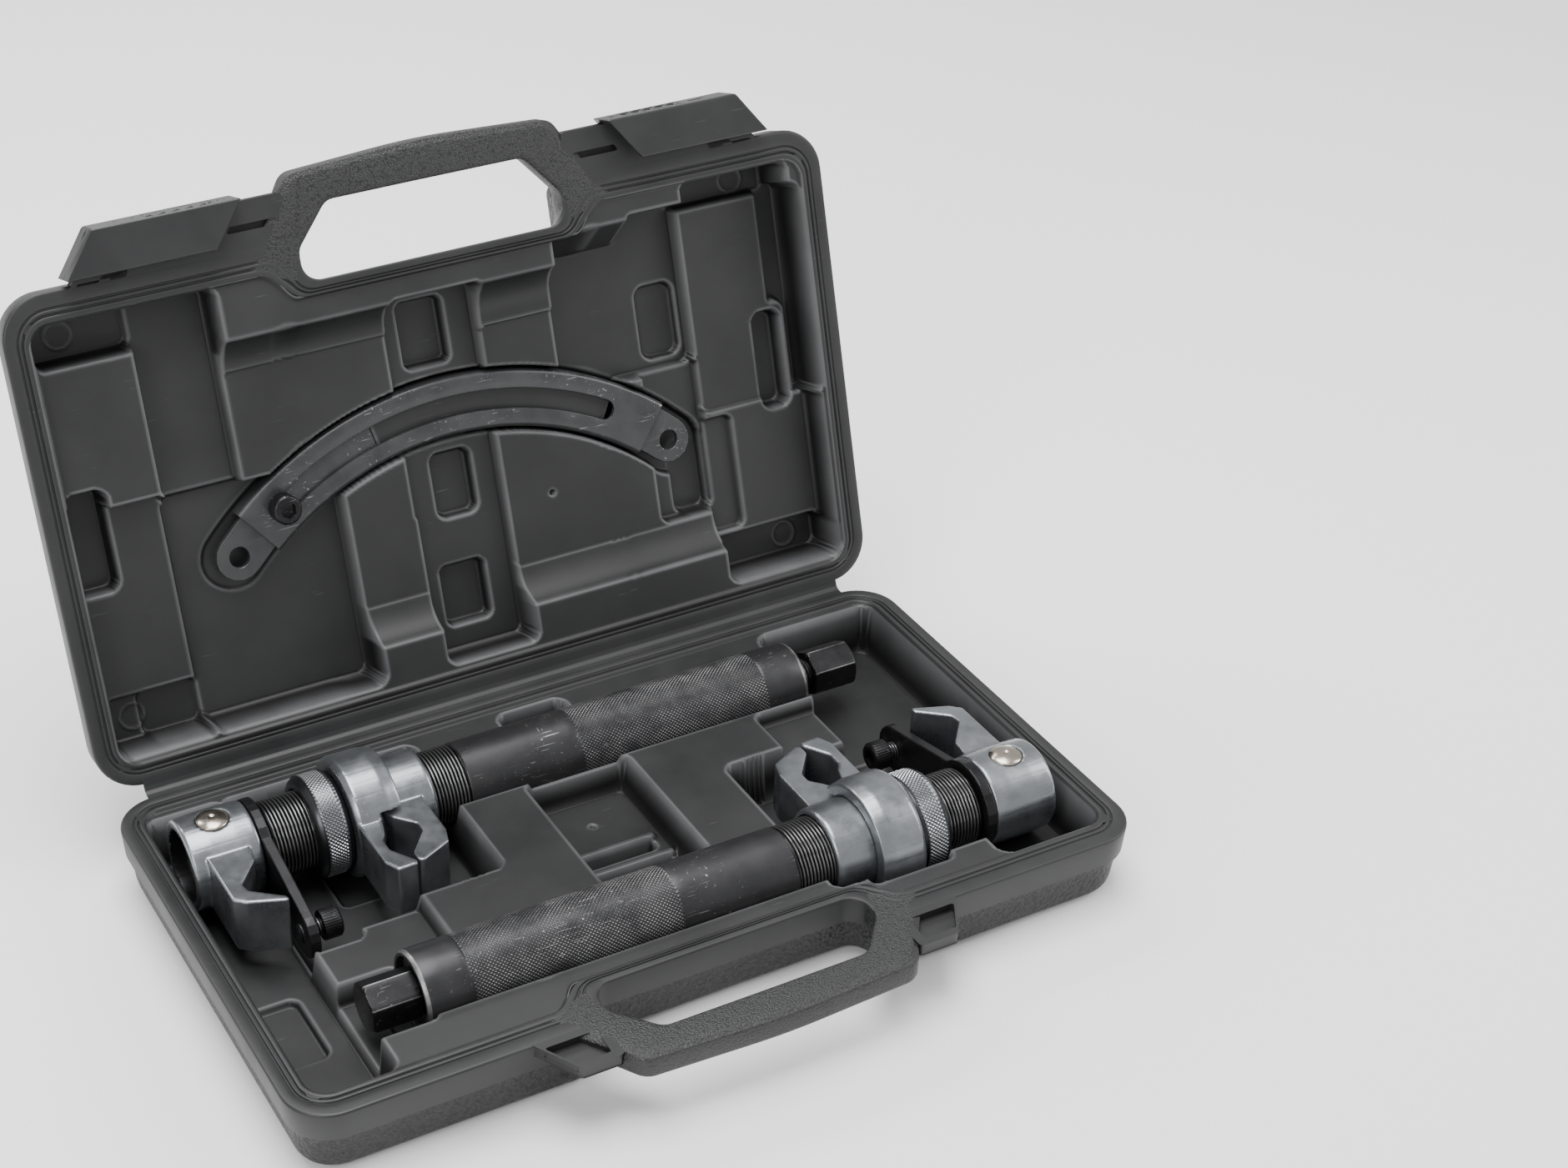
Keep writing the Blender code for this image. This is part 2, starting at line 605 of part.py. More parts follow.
def build_link(mat, oxide):
    d0, d1 = BAR_TOP, BAR_TOP + BAR_T
    web = arc_plate("channel", BAR_W / 2, -38.5, 38.0, d0, d1, steps=16)
    inside = arc_plate("inside", BAR_W / 2 - BAR_SHEET, -40, 39.5, d0 + BAR_SHEET, d1 + 3,
                       steps=16)
    slot = arc_plate("slot", 5.6, -33.5, 28.5, d0 - 3, d1, True, True, steps=12)
    combine(web, [inside], "DIFFERENCE")
    combine(web, [slot], "DIFFERENCE")
    finish(tidy(web), "link_channel", mat, to_open())

    slab0 = d0 + BAR_SHEET + 0.3
    tab = arc_plate("tab", 12.9, 31.5, TAB_A, slab0, slab0 + 4.0, False, True, 4)
    x, s = on_arc(TAB_A)
    hole = lid_point(x, s, slab0 + 2)
    combine(tab, [cylinder("hole", hole, 5.6, 12, "Z", 20)], "DIFFERENCE")
    finish(tidy(tab), "link_end_tab", mat, to_open())

    slider = arc_plate("slider", 12.9, SLIDER_A, -14.0, slab0, slab0 + 4.0, True, False, 6)
    x, s = on_arc(SLIDER_A)
    x2, s2 = on_arc(SCREW_A)
    holes = [cylinder("hole", lid_point(x, s, slab0 + 2), 5.6, 12, "Z", 20),
             cylinder("hole", lid_point(x2, s2, slab0 + 2), 5.3, 12, "Z", 16)]
    combine(slider, holes, "DIFFERENCE")
    finish(tidy(slider), "link_slider", mat, to_open())

    rings = []
    for depth, r in ((d0 - 9.9, 7.2), (d0 - 9.1, 8.0), (d0 - 0.3, 8.0), (d0 - 0.3, 5.0),
                     (d1 - 0.6, 5.0), (d1 - 0.2, 4.6)):
        cx, cy, cz = lid_point(x2, s2, depth)
        rings.append([(cx + r * math.cos(2 * math.pi * i / 24),
                       cy + r * math.sin(2 * math.pi * i / 24), cz) for i in range(24)])
    screw = stack("screw", rings)
    socket = []
    for depth in (d0 - 14, d0 - 5.4):
        cx, cy, cz = lid_point(x2, s2, depth)
        socket.append([(cx + y, cy + z, cz) for _, y, z in hex_ring(0, 8.0, 6)])
    combine(screw, [stack("socket", socket)], "DIFFERENCE")
    finish(tidy(screw), "clamp_screw", oxide, to_open())

    nut = []
    for depth in (slab0 + 4.3, d1 - 0.4):
        cx, cy, cz = lid_point(x2, s2, depth)
        nut.append([(cx + y, cy + z, cz) for _, y, z in hex_ring(0, 17.0, 6)])
    nut = stack("nut", nut)
    cx, cy, cz = lid_point(x2, s2, d1 - 2)
    combine(nut, [cylinder("hole", (cx, cy, cz), 5.3, 14, "Z", 16)], "DIFFERENCE")
    finish(tidy(nut), "clamp_nut", oxide, to_open())


def main():
    clear_scene()
    plastic = material("case_plastic", (0.055, 0.056, 0.058), 0.0, 0.55)
    latch_plastic = material("latch_plastic", (0.062, 0.062, 0.064), 0.0, 0.42)
    black = material("black_steel", (0.035, 0.036, 0.038), 0.7, 0.42)
    cast = material("silver_casting", (0.46, 0.48, 0.50), 0.75, 0.36)
    nickel = material("nickel", (0.55, 0.50, 0.44), 1.0, 0.22)
    oxide = material("oxide_steel", (0.045, 0.046, 0.048), 0.8, 0.38)
    bar = material("bar_steel", (0.05, 0.052, 0.055), 0.7, 0.40)

    build_base(plastic)
    build_lid(plastic)
    build_hinge(plastic)
    build_latch("latch_left", -1, latch_plastic)
    build_latch("latch_right", 1, latch_plastic)

    rear = (Matrix.Translation(Vector((REAR_X, REAR_Y, AXIS_Z)) * MM)
            @ Matrix.Rotation(math.pi, 4, "X"))
    front = (Matrix.Translation(Vector((FRONT_X, FRONT_Y, AXIS_Z)) * MM)
             @ Matrix.Rotation(math.pi, 4, "Y"))
    mats = (black, cast, nickel, oxide)
    build_spindle("rear", rear, 369.0, mats)
    build_spindle("front", front, 357.6, mats)
    build_link(bar, oxide)


main()
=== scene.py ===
import json
import math
import bmesh
import bpy
import numpy as np
from mathutils import Matrix, Vector


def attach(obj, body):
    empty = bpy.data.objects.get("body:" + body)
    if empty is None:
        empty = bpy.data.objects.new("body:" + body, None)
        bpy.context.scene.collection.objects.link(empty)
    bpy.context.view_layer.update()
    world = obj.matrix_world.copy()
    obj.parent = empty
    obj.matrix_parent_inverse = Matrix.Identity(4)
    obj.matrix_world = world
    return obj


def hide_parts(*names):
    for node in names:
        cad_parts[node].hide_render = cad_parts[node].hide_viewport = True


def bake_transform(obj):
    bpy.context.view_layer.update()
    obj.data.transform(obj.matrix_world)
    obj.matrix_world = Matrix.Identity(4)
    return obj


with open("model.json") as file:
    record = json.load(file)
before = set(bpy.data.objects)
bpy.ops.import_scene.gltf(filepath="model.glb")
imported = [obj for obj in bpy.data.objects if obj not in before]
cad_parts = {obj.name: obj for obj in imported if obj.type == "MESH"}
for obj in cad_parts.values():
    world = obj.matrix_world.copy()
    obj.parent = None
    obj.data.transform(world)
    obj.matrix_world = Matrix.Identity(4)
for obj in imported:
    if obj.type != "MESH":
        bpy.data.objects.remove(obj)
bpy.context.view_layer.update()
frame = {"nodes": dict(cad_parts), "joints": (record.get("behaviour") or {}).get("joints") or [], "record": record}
joints = {joint["name"]: joint for joint in frame["joints"]}
mm = 0.001
fineStep = 1.02
print("frame loaded")

cameraSetup = dict(at=(-0.5102, -0.9518, 0.8935), aim=(0.0450, 0.1135, 0.0420),
                   lens=61.02, shiftX=0.1173, shiftY=0.0633)
lightSetup = dict(
    ceiling=dict(at=(-0.1, 0.1, 2.0), aim=(0.0, 0.05, 0.05), size=(1.5, 1.1), power=52),
    frontLeft=dict(at=(-1.6, -1.1, 1.3), aim=(0.0, 0.0, 0.1), size=(0.9, 0.9), power=20),
    right=dict(at=(1.6, -0.5, 1.1), aim=(0.0, 0.0, 0.1), size=(0.6, 1.2), power=16),
    back=dict(at=(-0.3, 1.6, 1.5), aim=(0.0, 0.1, 0.1), size=(1.6, 0.5), power=24))
stageSetup = dict(floorSize=9.0, floorColor=(0.93, 0.93, 0.925), worldColor=(1.0, 1.0, 1.0),
                  worldStrength=0.72)


def aimedAt(obj, aim):
    obj.rotation_mode = "QUATERNION"
    obj.rotation_quaternion = (Vector(aim) - obj.location).to_track_quat("-Z", "Y")


def makeStage():
    lens = bpy.data.cameras.new("viewCamera")
    lens.sensor_width = 36.0
    lens.lens = cameraSetup["lens"]
    lens.shift_x = cameraSetup["shiftX"]
    lens.shift_y = cameraSetup["shiftY"]
    lens.clip_start, lens.clip_end = 0.05, 50.0
    view = bpy.data.objects.new("viewCamera", lens)
    view.location = cameraSetup["at"]
    aimedAt(view, cameraSetup["aim"])
    bpy.context.scene.collection.objects.link(view)
    bpy.context.scene.camera = view
    for name, lamp in lightSetup.items():
        data = bpy.data.lights.new(name, "AREA")
        data.shape = "RECTANGLE"
        data.size, data.size_y = lamp["size"]
        data.energy = lamp["power"]
        obj = bpy.data.objects.new(name, data)
        obj.location = lamp["at"]
        aimedAt(obj, lamp["aim"])
        bpy.context.scene.collection.objects.link(obj)
    world = bpy.data.worlds.new("studio")
    world.use_nodes = True
    sky = world.node_tree.nodes["Background"]
    sky.inputs["Color"].default_value = (*stageSetup["worldColor"], 1)
    sky.inputs["Strength"].default_value = stageSetup["worldStrength"]
    bpy.context.scene.world = world
    half = stageSetup["floorSize"] / 2
    mesh = bpy.data.meshes.new("floor")
    mesh.from_pydata([(-half, -half, 0), (half, -half, 0), (half, half, 0), (-half, half, 0)],
                     [], [(0, 1, 2, 3)])
    floor = bpy.data.objects.new("floor", mesh)
    floor.location.z = -0.0004
    bpy.context.scene.collection.objects.link(floor)
    paper = bpy.data.materials.new("floorPaper")
    paper.use_nodes = True
    shader = paper.node_tree.nodes["Principled BSDF"]
    shader.inputs["Base Color"].default_value = (*stageSetup["floorColor"], 1)
    shader.inputs["Roughness"].default_value = 0.9
    mesh.materials.append(paper)


makeStage()
print("stage made")


def newGroup(name, inputs, outputs):
    tree = bpy.data.node_groups.new(name, "ShaderNodeTree")
    for label, value in inputs.items():
        socket = tree.interface.new_socket(label, in_out="INPUT", socket_type="NodeSocketFloat")
        socket.default_value = value
    for label, kind in outputs.items():
        tree.interface.new_socket(label, in_out="OUTPUT", socket_type=kind)
    return tree, tree.nodes.new("NodeGroupInput"), tree.nodes.new("NodeGroupOutput")


def addNode(tree, kind, values=None, **settings):
    node = tree.nodes.new(kind)
    for label, value in settings.items():
        setattr(node, label, value)
    for label, value in (values or {}).items():
        node.inputs[label].default_value = value
    return node


def wire(tree, *pairs):
    for source, target in pairs:
        tree.links.new(source, target)


def maths(tree, operation, first, second=None, clamp=False):
    node = addNode(tree, "ShaderNodeMath", operation=operation, use_clamp=clamp)
    for slot, value in enumerate((first, second)):
        if value is None:
            continue
        if isinstance(value, (int, float)):
            node.inputs[slot].default_value = value
        else:
            tree.links.new(value, node.inputs[slot])
    return node.outputs[0]


def fromTo(tree, value, low, high, outLow=0.0, outHigh=1.0):
    node = addNode(tree, "ShaderNodeMapRange", clamp=True)
    tree.links.new(value, node.inputs["Value"])
    for label, number in zip(("From Min", "From Max", "To Min", "To Max"),
                             (low, high, outLow, outHigh)):
        node.inputs[label].default_value = number
    return node.outputs["Result"]


def noiseOn(tree, vector, scale, detail=3.0, roughness=0.55, distortion=0.0):
    node = addNode(tree, "ShaderNodeTexNoise", dict(Scale=scale, Detail=detail,
                   Roughness=roughness, Distortion=distortion))
    tree.links.new(vector, node.inputs["Vector"])
    return node.outputs["Fac"]


def stretched(tree, vector, scale, turn=(0, 0, 0)):
    node = addNode(tree, "ShaderNodeMapping")
    node.inputs["Scale"].default_value = scale
    node.inputs["Rotation"].default_value = turn
    tree.links.new(vector, node.inputs["Vector"])
    return node.outputs["Vector"]


# Pebbles: distance to the edges of warped cells, with a finer crease between.
def makeLeatherGroup():
    tree, given, result = newGroup("leatherPebbles", {"Cells": 520.0}, {
        "Height": "NodeSocketFloat", "Hollow": "NodeSocketFloat"})
    place = addNode(tree, "ShaderNodeTexCoord").outputs["Object"]
    warp = addNode(tree, "ShaderNodeTexNoise", dict(Scale=300.0, Detail=2.0))
    wire(tree, (place, warp.inputs["Vector"]))
    shift = addNode(tree, "ShaderNodeVectorMath", operation="MULTIPLY_ADD")
    shift.inputs[1].default_value = (0.0016,) * 3
    wire(tree, (warp.outputs["Color"], shift.inputs[0]), (place, shift.inputs[2]))
    cells = addNode(tree, "ShaderNodeTexVoronoi", feature="SMOOTH_F1")
    cells.inputs["Smoothness"].default_value = 0.35
    wire(tree, (shift.outputs[0], cells.inputs["Vector"]), (given.outputs["Cells"],
                                                            cells.inputs["Scale"]))
    small = noiseOn(tree, place, 1500.0, 2.0)
    dome = fromTo(tree, cells.outputs["Distance"], 0.1, 0.75, 1.0, 0.0)
    height = maths(tree, "ADD", dome, maths(tree, "MULTIPLY", small, 0.25))
    # Hollow marks the low ground between pebbles, which the leather finish darkens as painted shade
    wire(tree, (height, result.inputs["Height"]),
         (fromTo(tree, dome, 0.0, 0.4, 1.0, 0.0), result.inputs["Hollow"]))
    return tree


# Moulded skin: faint flow streaks along X, a very fine grain and soft blotches.
def makeSkinGroup():
    tree, given, result = newGroup("mouldedSkin", {"Grain": 1700.0, "Streaks": 1.0}, {
        "Height": "NodeSocketFloat", "Blotch": "NodeSocketFloat", "Scuff": "NodeSocketFloat"})
    place = addNode(tree, "ShaderNodeTexCoord").outputs["Object"]
    grain = addNode(tree, "ShaderNodeTexNoise", dict(Detail=2.0, Roughness=0.5))
    wire(tree, (place, grain.inputs["Vector"]), (given.outputs["Grain"], grain.inputs["Scale"]))
    flow = noiseOn(tree, stretched(tree, place, (9.0, 160.0, 160.0)), 1.0, 3.0)
    flow = maths(tree, "MULTIPLY", flow, given.outputs["Streaks"])
    blotch = noiseOn(tree, place, 14.0, 4.0, 0.6)
    scratch = noiseOn(tree, stretched(tree, place, (60.0, 900.0, 900.0), (0.3, 0.2, 0.7)), 1.0, 2.0)
    patch = noiseOn(tree, place, 22.0, 2.0)
    scuff = maths(tree, "MULTIPLY", fromTo(tree, scratch, 0.69, 0.76),
                  fromTo(tree, patch, 0.5, 0.66))
    height = maths(tree, "ADD", maths(tree, "MULTIPLY", grain.outputs["Fac"], 0.6), flow)
    wire(tree, (height, result.inputs["Height"]), (blotch, result.inputs["Blotch"]),
         (scuff, result.inputs["Scuff"]))
    return tree


# Handling wear: thin crossing scratches, small nicks and cloudy rubbed patches.
def makeWearGroup():
    tree, given, result = newGroup("handlingWear", {"Amount": 1.0}, {
        "Scratches": "NodeSocketFloat", "Cloud": "NodeSocketFloat", "Height": "NodeSocketFloat"})
    place = addNode(tree, "ShaderNodeTexCoord").outputs["Object"]
    first = noiseOn(tree, stretched(tree, place, (70, 1300, 1300), (0.2, 0.5, 0.35)), 1.0, 1.5)
    second = noiseOn(tree, stretched(tree, place, (1100, 60, 900), (0.6, 0.1, -0.5)), 1.0, 1.5)
    nick = noiseOn(tree, place, 420.0, 1.0)
    patch = fromTo(tree, noiseOn(tree, place, 26.0, 2.0), 0.46, 0.62)
    lines = maths(tree, "MAXIMUM", fromTo(tree, first, 0.68, 0.74), fromTo(tree, second, 0.70, 0.76))
    lines = maths(tree, "MAXIMUM", lines, fromTo(tree, nick, 0.72, 0.78))
    lines = maths(tree, "MULTIPLY", maths(tree, "MULTIPLY", lines, patch),
                  given.outputs["Amount"])
    cloud = noiseOn(tree, place, 60.0, 4.0, 0.65)
    fine = noiseOn(tree, place, 2200.0, 2.0)
    wire(tree, (lines, result.inputs["Scratches"]), (cloud, result.inputs["Cloud"]),
         (maths(tree, "SUBTRACT", fine, lines), result.inputs["Height"]))
    return tree


leatherGroup = makeLeatherGroup()
skinGroup = makeSkinGroup()
wearGroup = makeWearGroup()


def groupNode(tree, group, **values):
    node = tree.nodes.new("ShaderNodeGroup")
    node.node_tree = group
    for label, value in values.items():
        node.inputs[label].default_value = value
    return node


def newMaterial(name, roughness=0.5, metallic=0.0, **sockets):
    material = bpy.data.materials.new(name)
    material.use_nodes = True
    shader = material.node_tree.nodes["Principled BSDF"]
    shader.inputs["Roughness"].default_value = roughness
    shader.inputs["Metallic"].default_value = metallic
    for label, value in sockets.items():
        shader.inputs[label].default_value = value
    return material, material.node_tree, shader


def mixColor(tree, factor, first, second):
    node = addNode(tree, "ShaderNodeMix", data_type="RGBA")
    for socket, value in ((node.inputs[0], factor), (node.inputs[6], first),
                          (node.inputs[7], second)):
        if isinstance(value, tuple):
            socket.default_value = (*value, 1)
        elif isinstance(value, (int, float)):
            socket.default_value = value
        else:
            tree.links.new(value, socket)
    return node.outputs[2]


def bumpTo(tree, shader, height, strength, distance):
    bump = addNode(tree, "ShaderNodeBump", dict(Strength=strength, Distance=distance))
    wire(tree, (height, bump.inputs["Height"]), (bump.outputs["Normal"], shader.inputs["Normal"]))


# edge is a painted highlight colour for raised edges; crease is a painted shade colour for creases and pocket
# corners
plasticLook = dict(dark=(0.0125, 0.0128, 0.0133), light=(0.0190, 0.0193, 0.0200),
                   scuff=(0.09, 0.09, 0.093), edge=(0.085, 0.086, 0.089),
                   crease=(0.003, 0.003, 0.003))


def makePlastic(name, tint=1.0, grain=1700.0, streaks=1.0, depth=0.00008, rough=(0.40, 0.56)):
    material, tree, shader = newMaterial(name)
    shader.inputs["Specular IOR Level"].default_value = 0.45
    skin = groupNode(tree, skinGroup, Grain=grain, Streaks=streaks)
    dark, light = (tuple(tint * c for c in plasticLook[key]) for key in ("dark", "light"))
    color = mixColor(tree, fromTo(tree, skin.outputs["Blotch"], 0.35, 0.65), dark, light)
    color = mixColor(tree, maths(tree, "MULTIPLY", skin.outputs["Scuff"], 0.5), color,
                     plasticLook["scuff"])
    # painted highlight: the crest value lightens the raised edges of the trays towards the edge colour
    edges = addNode(tree, "ShaderNodeAttribute", attribute_name="crest")
    wearAndPaintedHighlight = maths(tree, "MULTIPLY", edges.outputs["Fac"],
                   fromTo(tree, skin.outputs["Blotch"], 0.3, 0.6, 0.55, 1.0))
    color = mixColor(tree, wearAndPaintedHighlight, color, plasticLook["edge"])
    # painted shade: the crease value darkens creases and the feet of pocket walls towards the crease colour
    paintedCreaseShade = addNode(tree, "ShaderNodeAttribute", attribute_name="crease").outputs["Fac"]
    color = mixColor(tree, maths(tree, "MULTIPLY", paintedCreaseShade, 0.85), color, plasticLook["crease"])
    wire(tree, (color, shader.inputs["Base Color"]),
         (fromTo(tree, skin.outputs["Blotch"], 0.3, 0.7, *rough), shader.inputs["Roughness"]))
    bumpTo(tree, shader, skin.outputs["Height"], 0.5, depth)
    return material


def makeLeatherPlastic(name, cells, depth):
    material, tree, shader = newMaterial(name)
    shader.inputs["Specular IOR Level"].default_value = 0.45
    pebbles = groupNode(tree, leatherGroup, Cells=cells)
    skin = groupNode(tree, skinGroup, Grain=1500.0, Streaks=0.0)
    # painted shade: pebble hollows are darker than the pebble tops
    color = mixColor(tree, pebbles.outputs["Hollow"], plasticLook["light"],
                     tuple(0.55 * c for c in plasticLook["dark"]))
    wire(tree, (color, shader.inputs["Base Color"]),
         (fromTo(tree, skin.outputs["Blotch"], 0.3, 0.7, 0.42, 0.55),
          shader.inputs["Roughness"]))
    bumpTo(tree, shader, pebbles.outputs["Height"], 0.9, depth)
    return material


# Coated steel: cloudy base colour, painted shade darkening the hollows and bright crests where
# the surface carries a crest value, and bright scratches
def makeSteel(name, dark, light, bright, rough=(0.32, 0.5), metallic=0.75, amount=1.0,
              hollow=None, worn=(0.35, 0.7), depth=0.00003):
    material, tree, shader = newMaterial(name)
    wear = groupNode(tree, wearGroup, Amount=amount)
    color = mixColor(tree, fromTo(tree, wear.outputs["Cloud"], 0.3, 0.7), dark, light)
    tips = addNode(tree, "ShaderNodeAttribute", attribute_name="crest").outputs["Fac"]
    # painted shade: the hollow colour darkens the grooves between the crests
    if hollow is not None:
        color = mixColor(tree, fromTo(tree, tips, 0.05, 0.6, 1.0, 0.0), color, hollow)
    wearAndPaintedHighlight = maths(tree, "MULTIPLY", fromTo(tree, tips, 0.45, 1.0),
                   fromTo(tree, wear.outputs["Cloud"], *worn))
    mask = maths(tree, "MAXIMUM", wear.outputs["Scratches"], wearAndPaintedHighlight)
    color = mixColor(tree, mask, color, bright)
    wire(tree, (color, shader.inputs["Base Color"]),
         (fromTo(tree, wear.outputs["Cloud"], 0.3, 0.7, *rough), shader.inputs["Roughness"]),
         (fromTo(tree, mask, 0.0, 1.0, metallic, 1.0), shader.inputs["Metallic"]))
    bumpTo(tree, shader, wear.outputs["Height"], 0.4, depth)
    return material


looks = {
    "case": makePlastic("casePlastic"),
    "caseLeather": makeLeatherPlastic("caseLeather", 430.0, 0.0011),
    "handle": makeLeatherPlastic("handleGrain", 1000.0, 0.0003),
    "latch": makePlastic("latchPlastic", 1.25, 2200.0, 0.5, 0.00004, (0.28, 0.42)),
    "tube": makeSteel("blackTube", (0.028, 0.028, 0.030), (0.043, 0.043, 0.045),
                      (0.30, 0.30, 0.30), (0.36, 0.44), 0.6, 0.8),
    "knurl": makeSteel("knurledTube", (0.030, 0.030, 0.032), (0.042, 0.042, 0.044),
                       (0.38, 0.38, 0.38), (0.34, 0.42), 0.6, 0.7, worn=(0.35, 0.62)),
    # its hollow colour is painted shade in the thread roots
    "thread": makeSteel("threadSteel", (0.030, 0.030, 0.032), (0.045, 0.045, 0.047),
                        (0.30, 0.30, 0.30), (0.26, 0.34), 0.8, 0.3,
                        hollow=(0.004, 0.004, 0.004), worn=(0.1, 0.7)),
    "cast": makeSteel("silverCasting", (0.22, 0.235, 0.25), (0.31, 0.325, 0.34),
                      (0.62, 0.63, 0.65), (0.24, 0.38), 0.9, 0.35),
    # its hollow colour is painted shade in the knurl grooves
    "castKnurl": makeSteel("silverKnurl", (0.30, 0.315, 0.33), (0.38, 0.395, 0.41),
                           (0.75, 0.76, 0.78), (0.24, 0.36), 0.9, 0.2,
                           hollow=(0.05, 0.052, 0.055), worn=(0.0, 0.4)),
    "nickel": makeSteel("nickelPin", (0.40, 0.355, 0.30), (0.52, 0.47, 0.41),
                        (0.8, 0.78, 0.74), (0.16, 0.28), 1.0, 0.3),
    "oxide": makeSteel("oxideSteel", (0.012, 0.012, 0.013), (0.024, 0.024, 0.026),
                       (0.30, 0.30, 0.30), (0.28, 0.42), 0.7, 0.7, worn=(0.3, 0.6)),
    "bar": makeSteel("barCoat", (0.050, 0.051, 0.053), (0.072, 0.073, 0.075),
                     (0.36, 0.36, 0.37), (0.30, 0.42), 0.6, 1.8),
}
print("materials made")


# Quads of a grid of points, walked as whole index arrays.
def gridFaces(rows, columns, loopRows=False, loopColumns=False):
    i = np.arange(rows if loopRows else rows - 1)[:, None]
    j = np.arange(columns if loopColumns else columns - 1)[None, :]
    nextI, nextJ = (i + 1) % rows, (j + 1) % columns
    return np.stack([i * columns + j, i * columns + nextJ, nextI * columns + nextJ,
                     nextI * columns + j], -1).reshape(-1, 4)


# Points in millimetres become a piece that rides on a body; flip None recalculates the
# normals. crest and crease are values per point that the finishes read; the case plastic paints a highlight on
# crests and shade in creases.
def putPiece(name, points, faces, look, body, flip=None, sharp=38.0, place=None,
             stands=(), crest=None, crease=None):
    points = np.asarray(points, float).reshape(-1, 3)
    if place is not None:
        points = points @ place[:3, :3].T + place[:3, 3]
    if flip:
        faces = [tuple(face)[::-1] for face in faces]
    mesh = bpy.data.meshes.new(name)
    mesh.from_pydata((points * mm).tolist(), [], [tuple(map(int, face)) for face in faces])
    if flip is None:
        work = bmesh.new()
        work.from_mesh(mesh)
        bmesh.ops.remove_doubles(work, verts=work.verts, dist=1e-7)
        bmesh.ops.recalc_face_normals(work, faces=work.faces)
        work.to_mesh(mesh)
        work.free()
    for label, values in (("crest", crest), ("crease", crease)):
        if values is not None:
            layer = mesh.attributes.new(label, "FLOAT", "POINT")
            layer.data.foreach_set("value", np.asarray(values, np.float32).ravel())
    mesh.shade_smooth()
    mesh.set_sharp_from_angle(angle=math.radians(sharp))
    mesh.materials.append(look if not isinstance(look, str) else looks[look])
    obj = bpy.data.objects.new(name, mesh)
    bpy.context.scene.collection.objects.link(obj)
    if body:
        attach(obj, body)
    if stands:
        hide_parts(*stands)
    return obj


# Closed rings of equally many points, joined in order, with an end face at each end.
def ringStack(rings, capStart=True, capEnd=True, loop=False):
    rings = np.asarray(rings, float)
    rows, columns = rings.shape[:2]
    faces = gridFaces(rows, columns, loop, True).tolist()
    if not loop and capStart:
        faces.append(list(range(columns))[::-1])
    if not loop and capEnd:
        faces.append(list(range((rows - 1) * columns, rows * columns)))
    return rings.reshape(-1, 3), faces


# Polygon with corners (x, y, radius): each corner an arc, each side evenly divided.
def roundedPath(corners, arc=8, side=10, closed=True):
    corners = [np.array(corner, float) for corner in corners]
    count = len(corners)
    arcs = []
    for index, corner in enumerate(corners):
        here, radius = corner[:2], corner[2]
        if not closed and index in (0, count - 1):
            arcs.append(np.array([here]))
            continue
        before = corners[index - 1][:2] - here
        after = corners[(index + 1) % count][:2] - here
        reachLimit = 0.49 * min(np.linalg.norm(before), np.linalg.norm(after))
        before, after = before / np.linalg.norm(before), after / np.linalg.norm(after)
        half = math.acos(np.clip(before @ after, -1, 1)) / 2
        reach = min(radius / math.tan(half), reachLimit)
        radius = reach * math.tan(half)
        middle = here + (before + after) / np.linalg.norm(before + after) * radius / math.sin(half)
        start, end = here + before * reach - middle, here + after * reach - middle
        turn = math.atan2(start[0] * end[1] - start[1] * end[0], start @ end)
        angle = turn * np.linspace(0, 1, arc + 1)[:, None]
        sideways = np.array([-start[1], start[0]])
        arcs.append(middle + start * np.cos(angle) + sideways * np.sin(angle))
    path = []
    for index, points in enumerate(arcs):
        path.append(points)
        if closed or index < count - 1:
            between = side if isinstance(side, int) else side[index]
            share = np.linspace(0, 1, between + 2)[1:-1, None]
            path.append(points[-1] * (1 - share) + arcs[(index + 1) % count][0] * share)
    return np.concatenate(path)


# Unit normals of a closed path that runs counterclockwise.
def outward(path):
    along = np.roll(path, -1, 0) - np.roll(path, 1, 0)
    along /= np.linalg.norm(along, axis=1)[:, None]
    return np.stack([along[:, 1], -along[:, 0]], 1)


def smooth(t):
    t = np.clip(t, 0, 1)
    return t * t * (3 - 2 * t)


# 1 inside a rounded rectangle, 0 outside, with a smooth wall of the given width.
def boxMask(x, y, x0, x1, y0, y1, radius, wall):
    radius = min(radius, (x1 - x0) / 2, (y1 - y0) / 2)
    dx = np.abs(x - (x0 + x1) / 2) - (x1 - x0) / 2 + radius
    dy = np.abs(y - (y0 + y1) / 2) - (y1 - y0) / 2 + radius
    distance = np.hypot(np.maximum(dx, 0), np.maximum(dy, 0)) + np.minimum(np.maximum(dx, dy), 0)
    return smooth(0.5 - (distance - radius) / wall)


# Matrix that opens the lid group about the hinge line, in millimetres.
def hingeTurn():
    pivot = Vector(joints["lid_hinge"]["pos_m"]) / mm
    angle = math.radians(joints["lid_hinge"]["range_deg"][0])
    turn = (Matrix.Translation(pivot) @ Matrix.Rotation(angle, 4, "X")
            @ Matrix.Translation(-pivot))
    return np.array(turn)


opened = hingeTurn()
hingeY = joints["lid_hinge"]["pos_m"][1] / mm
recessFront = -115.0

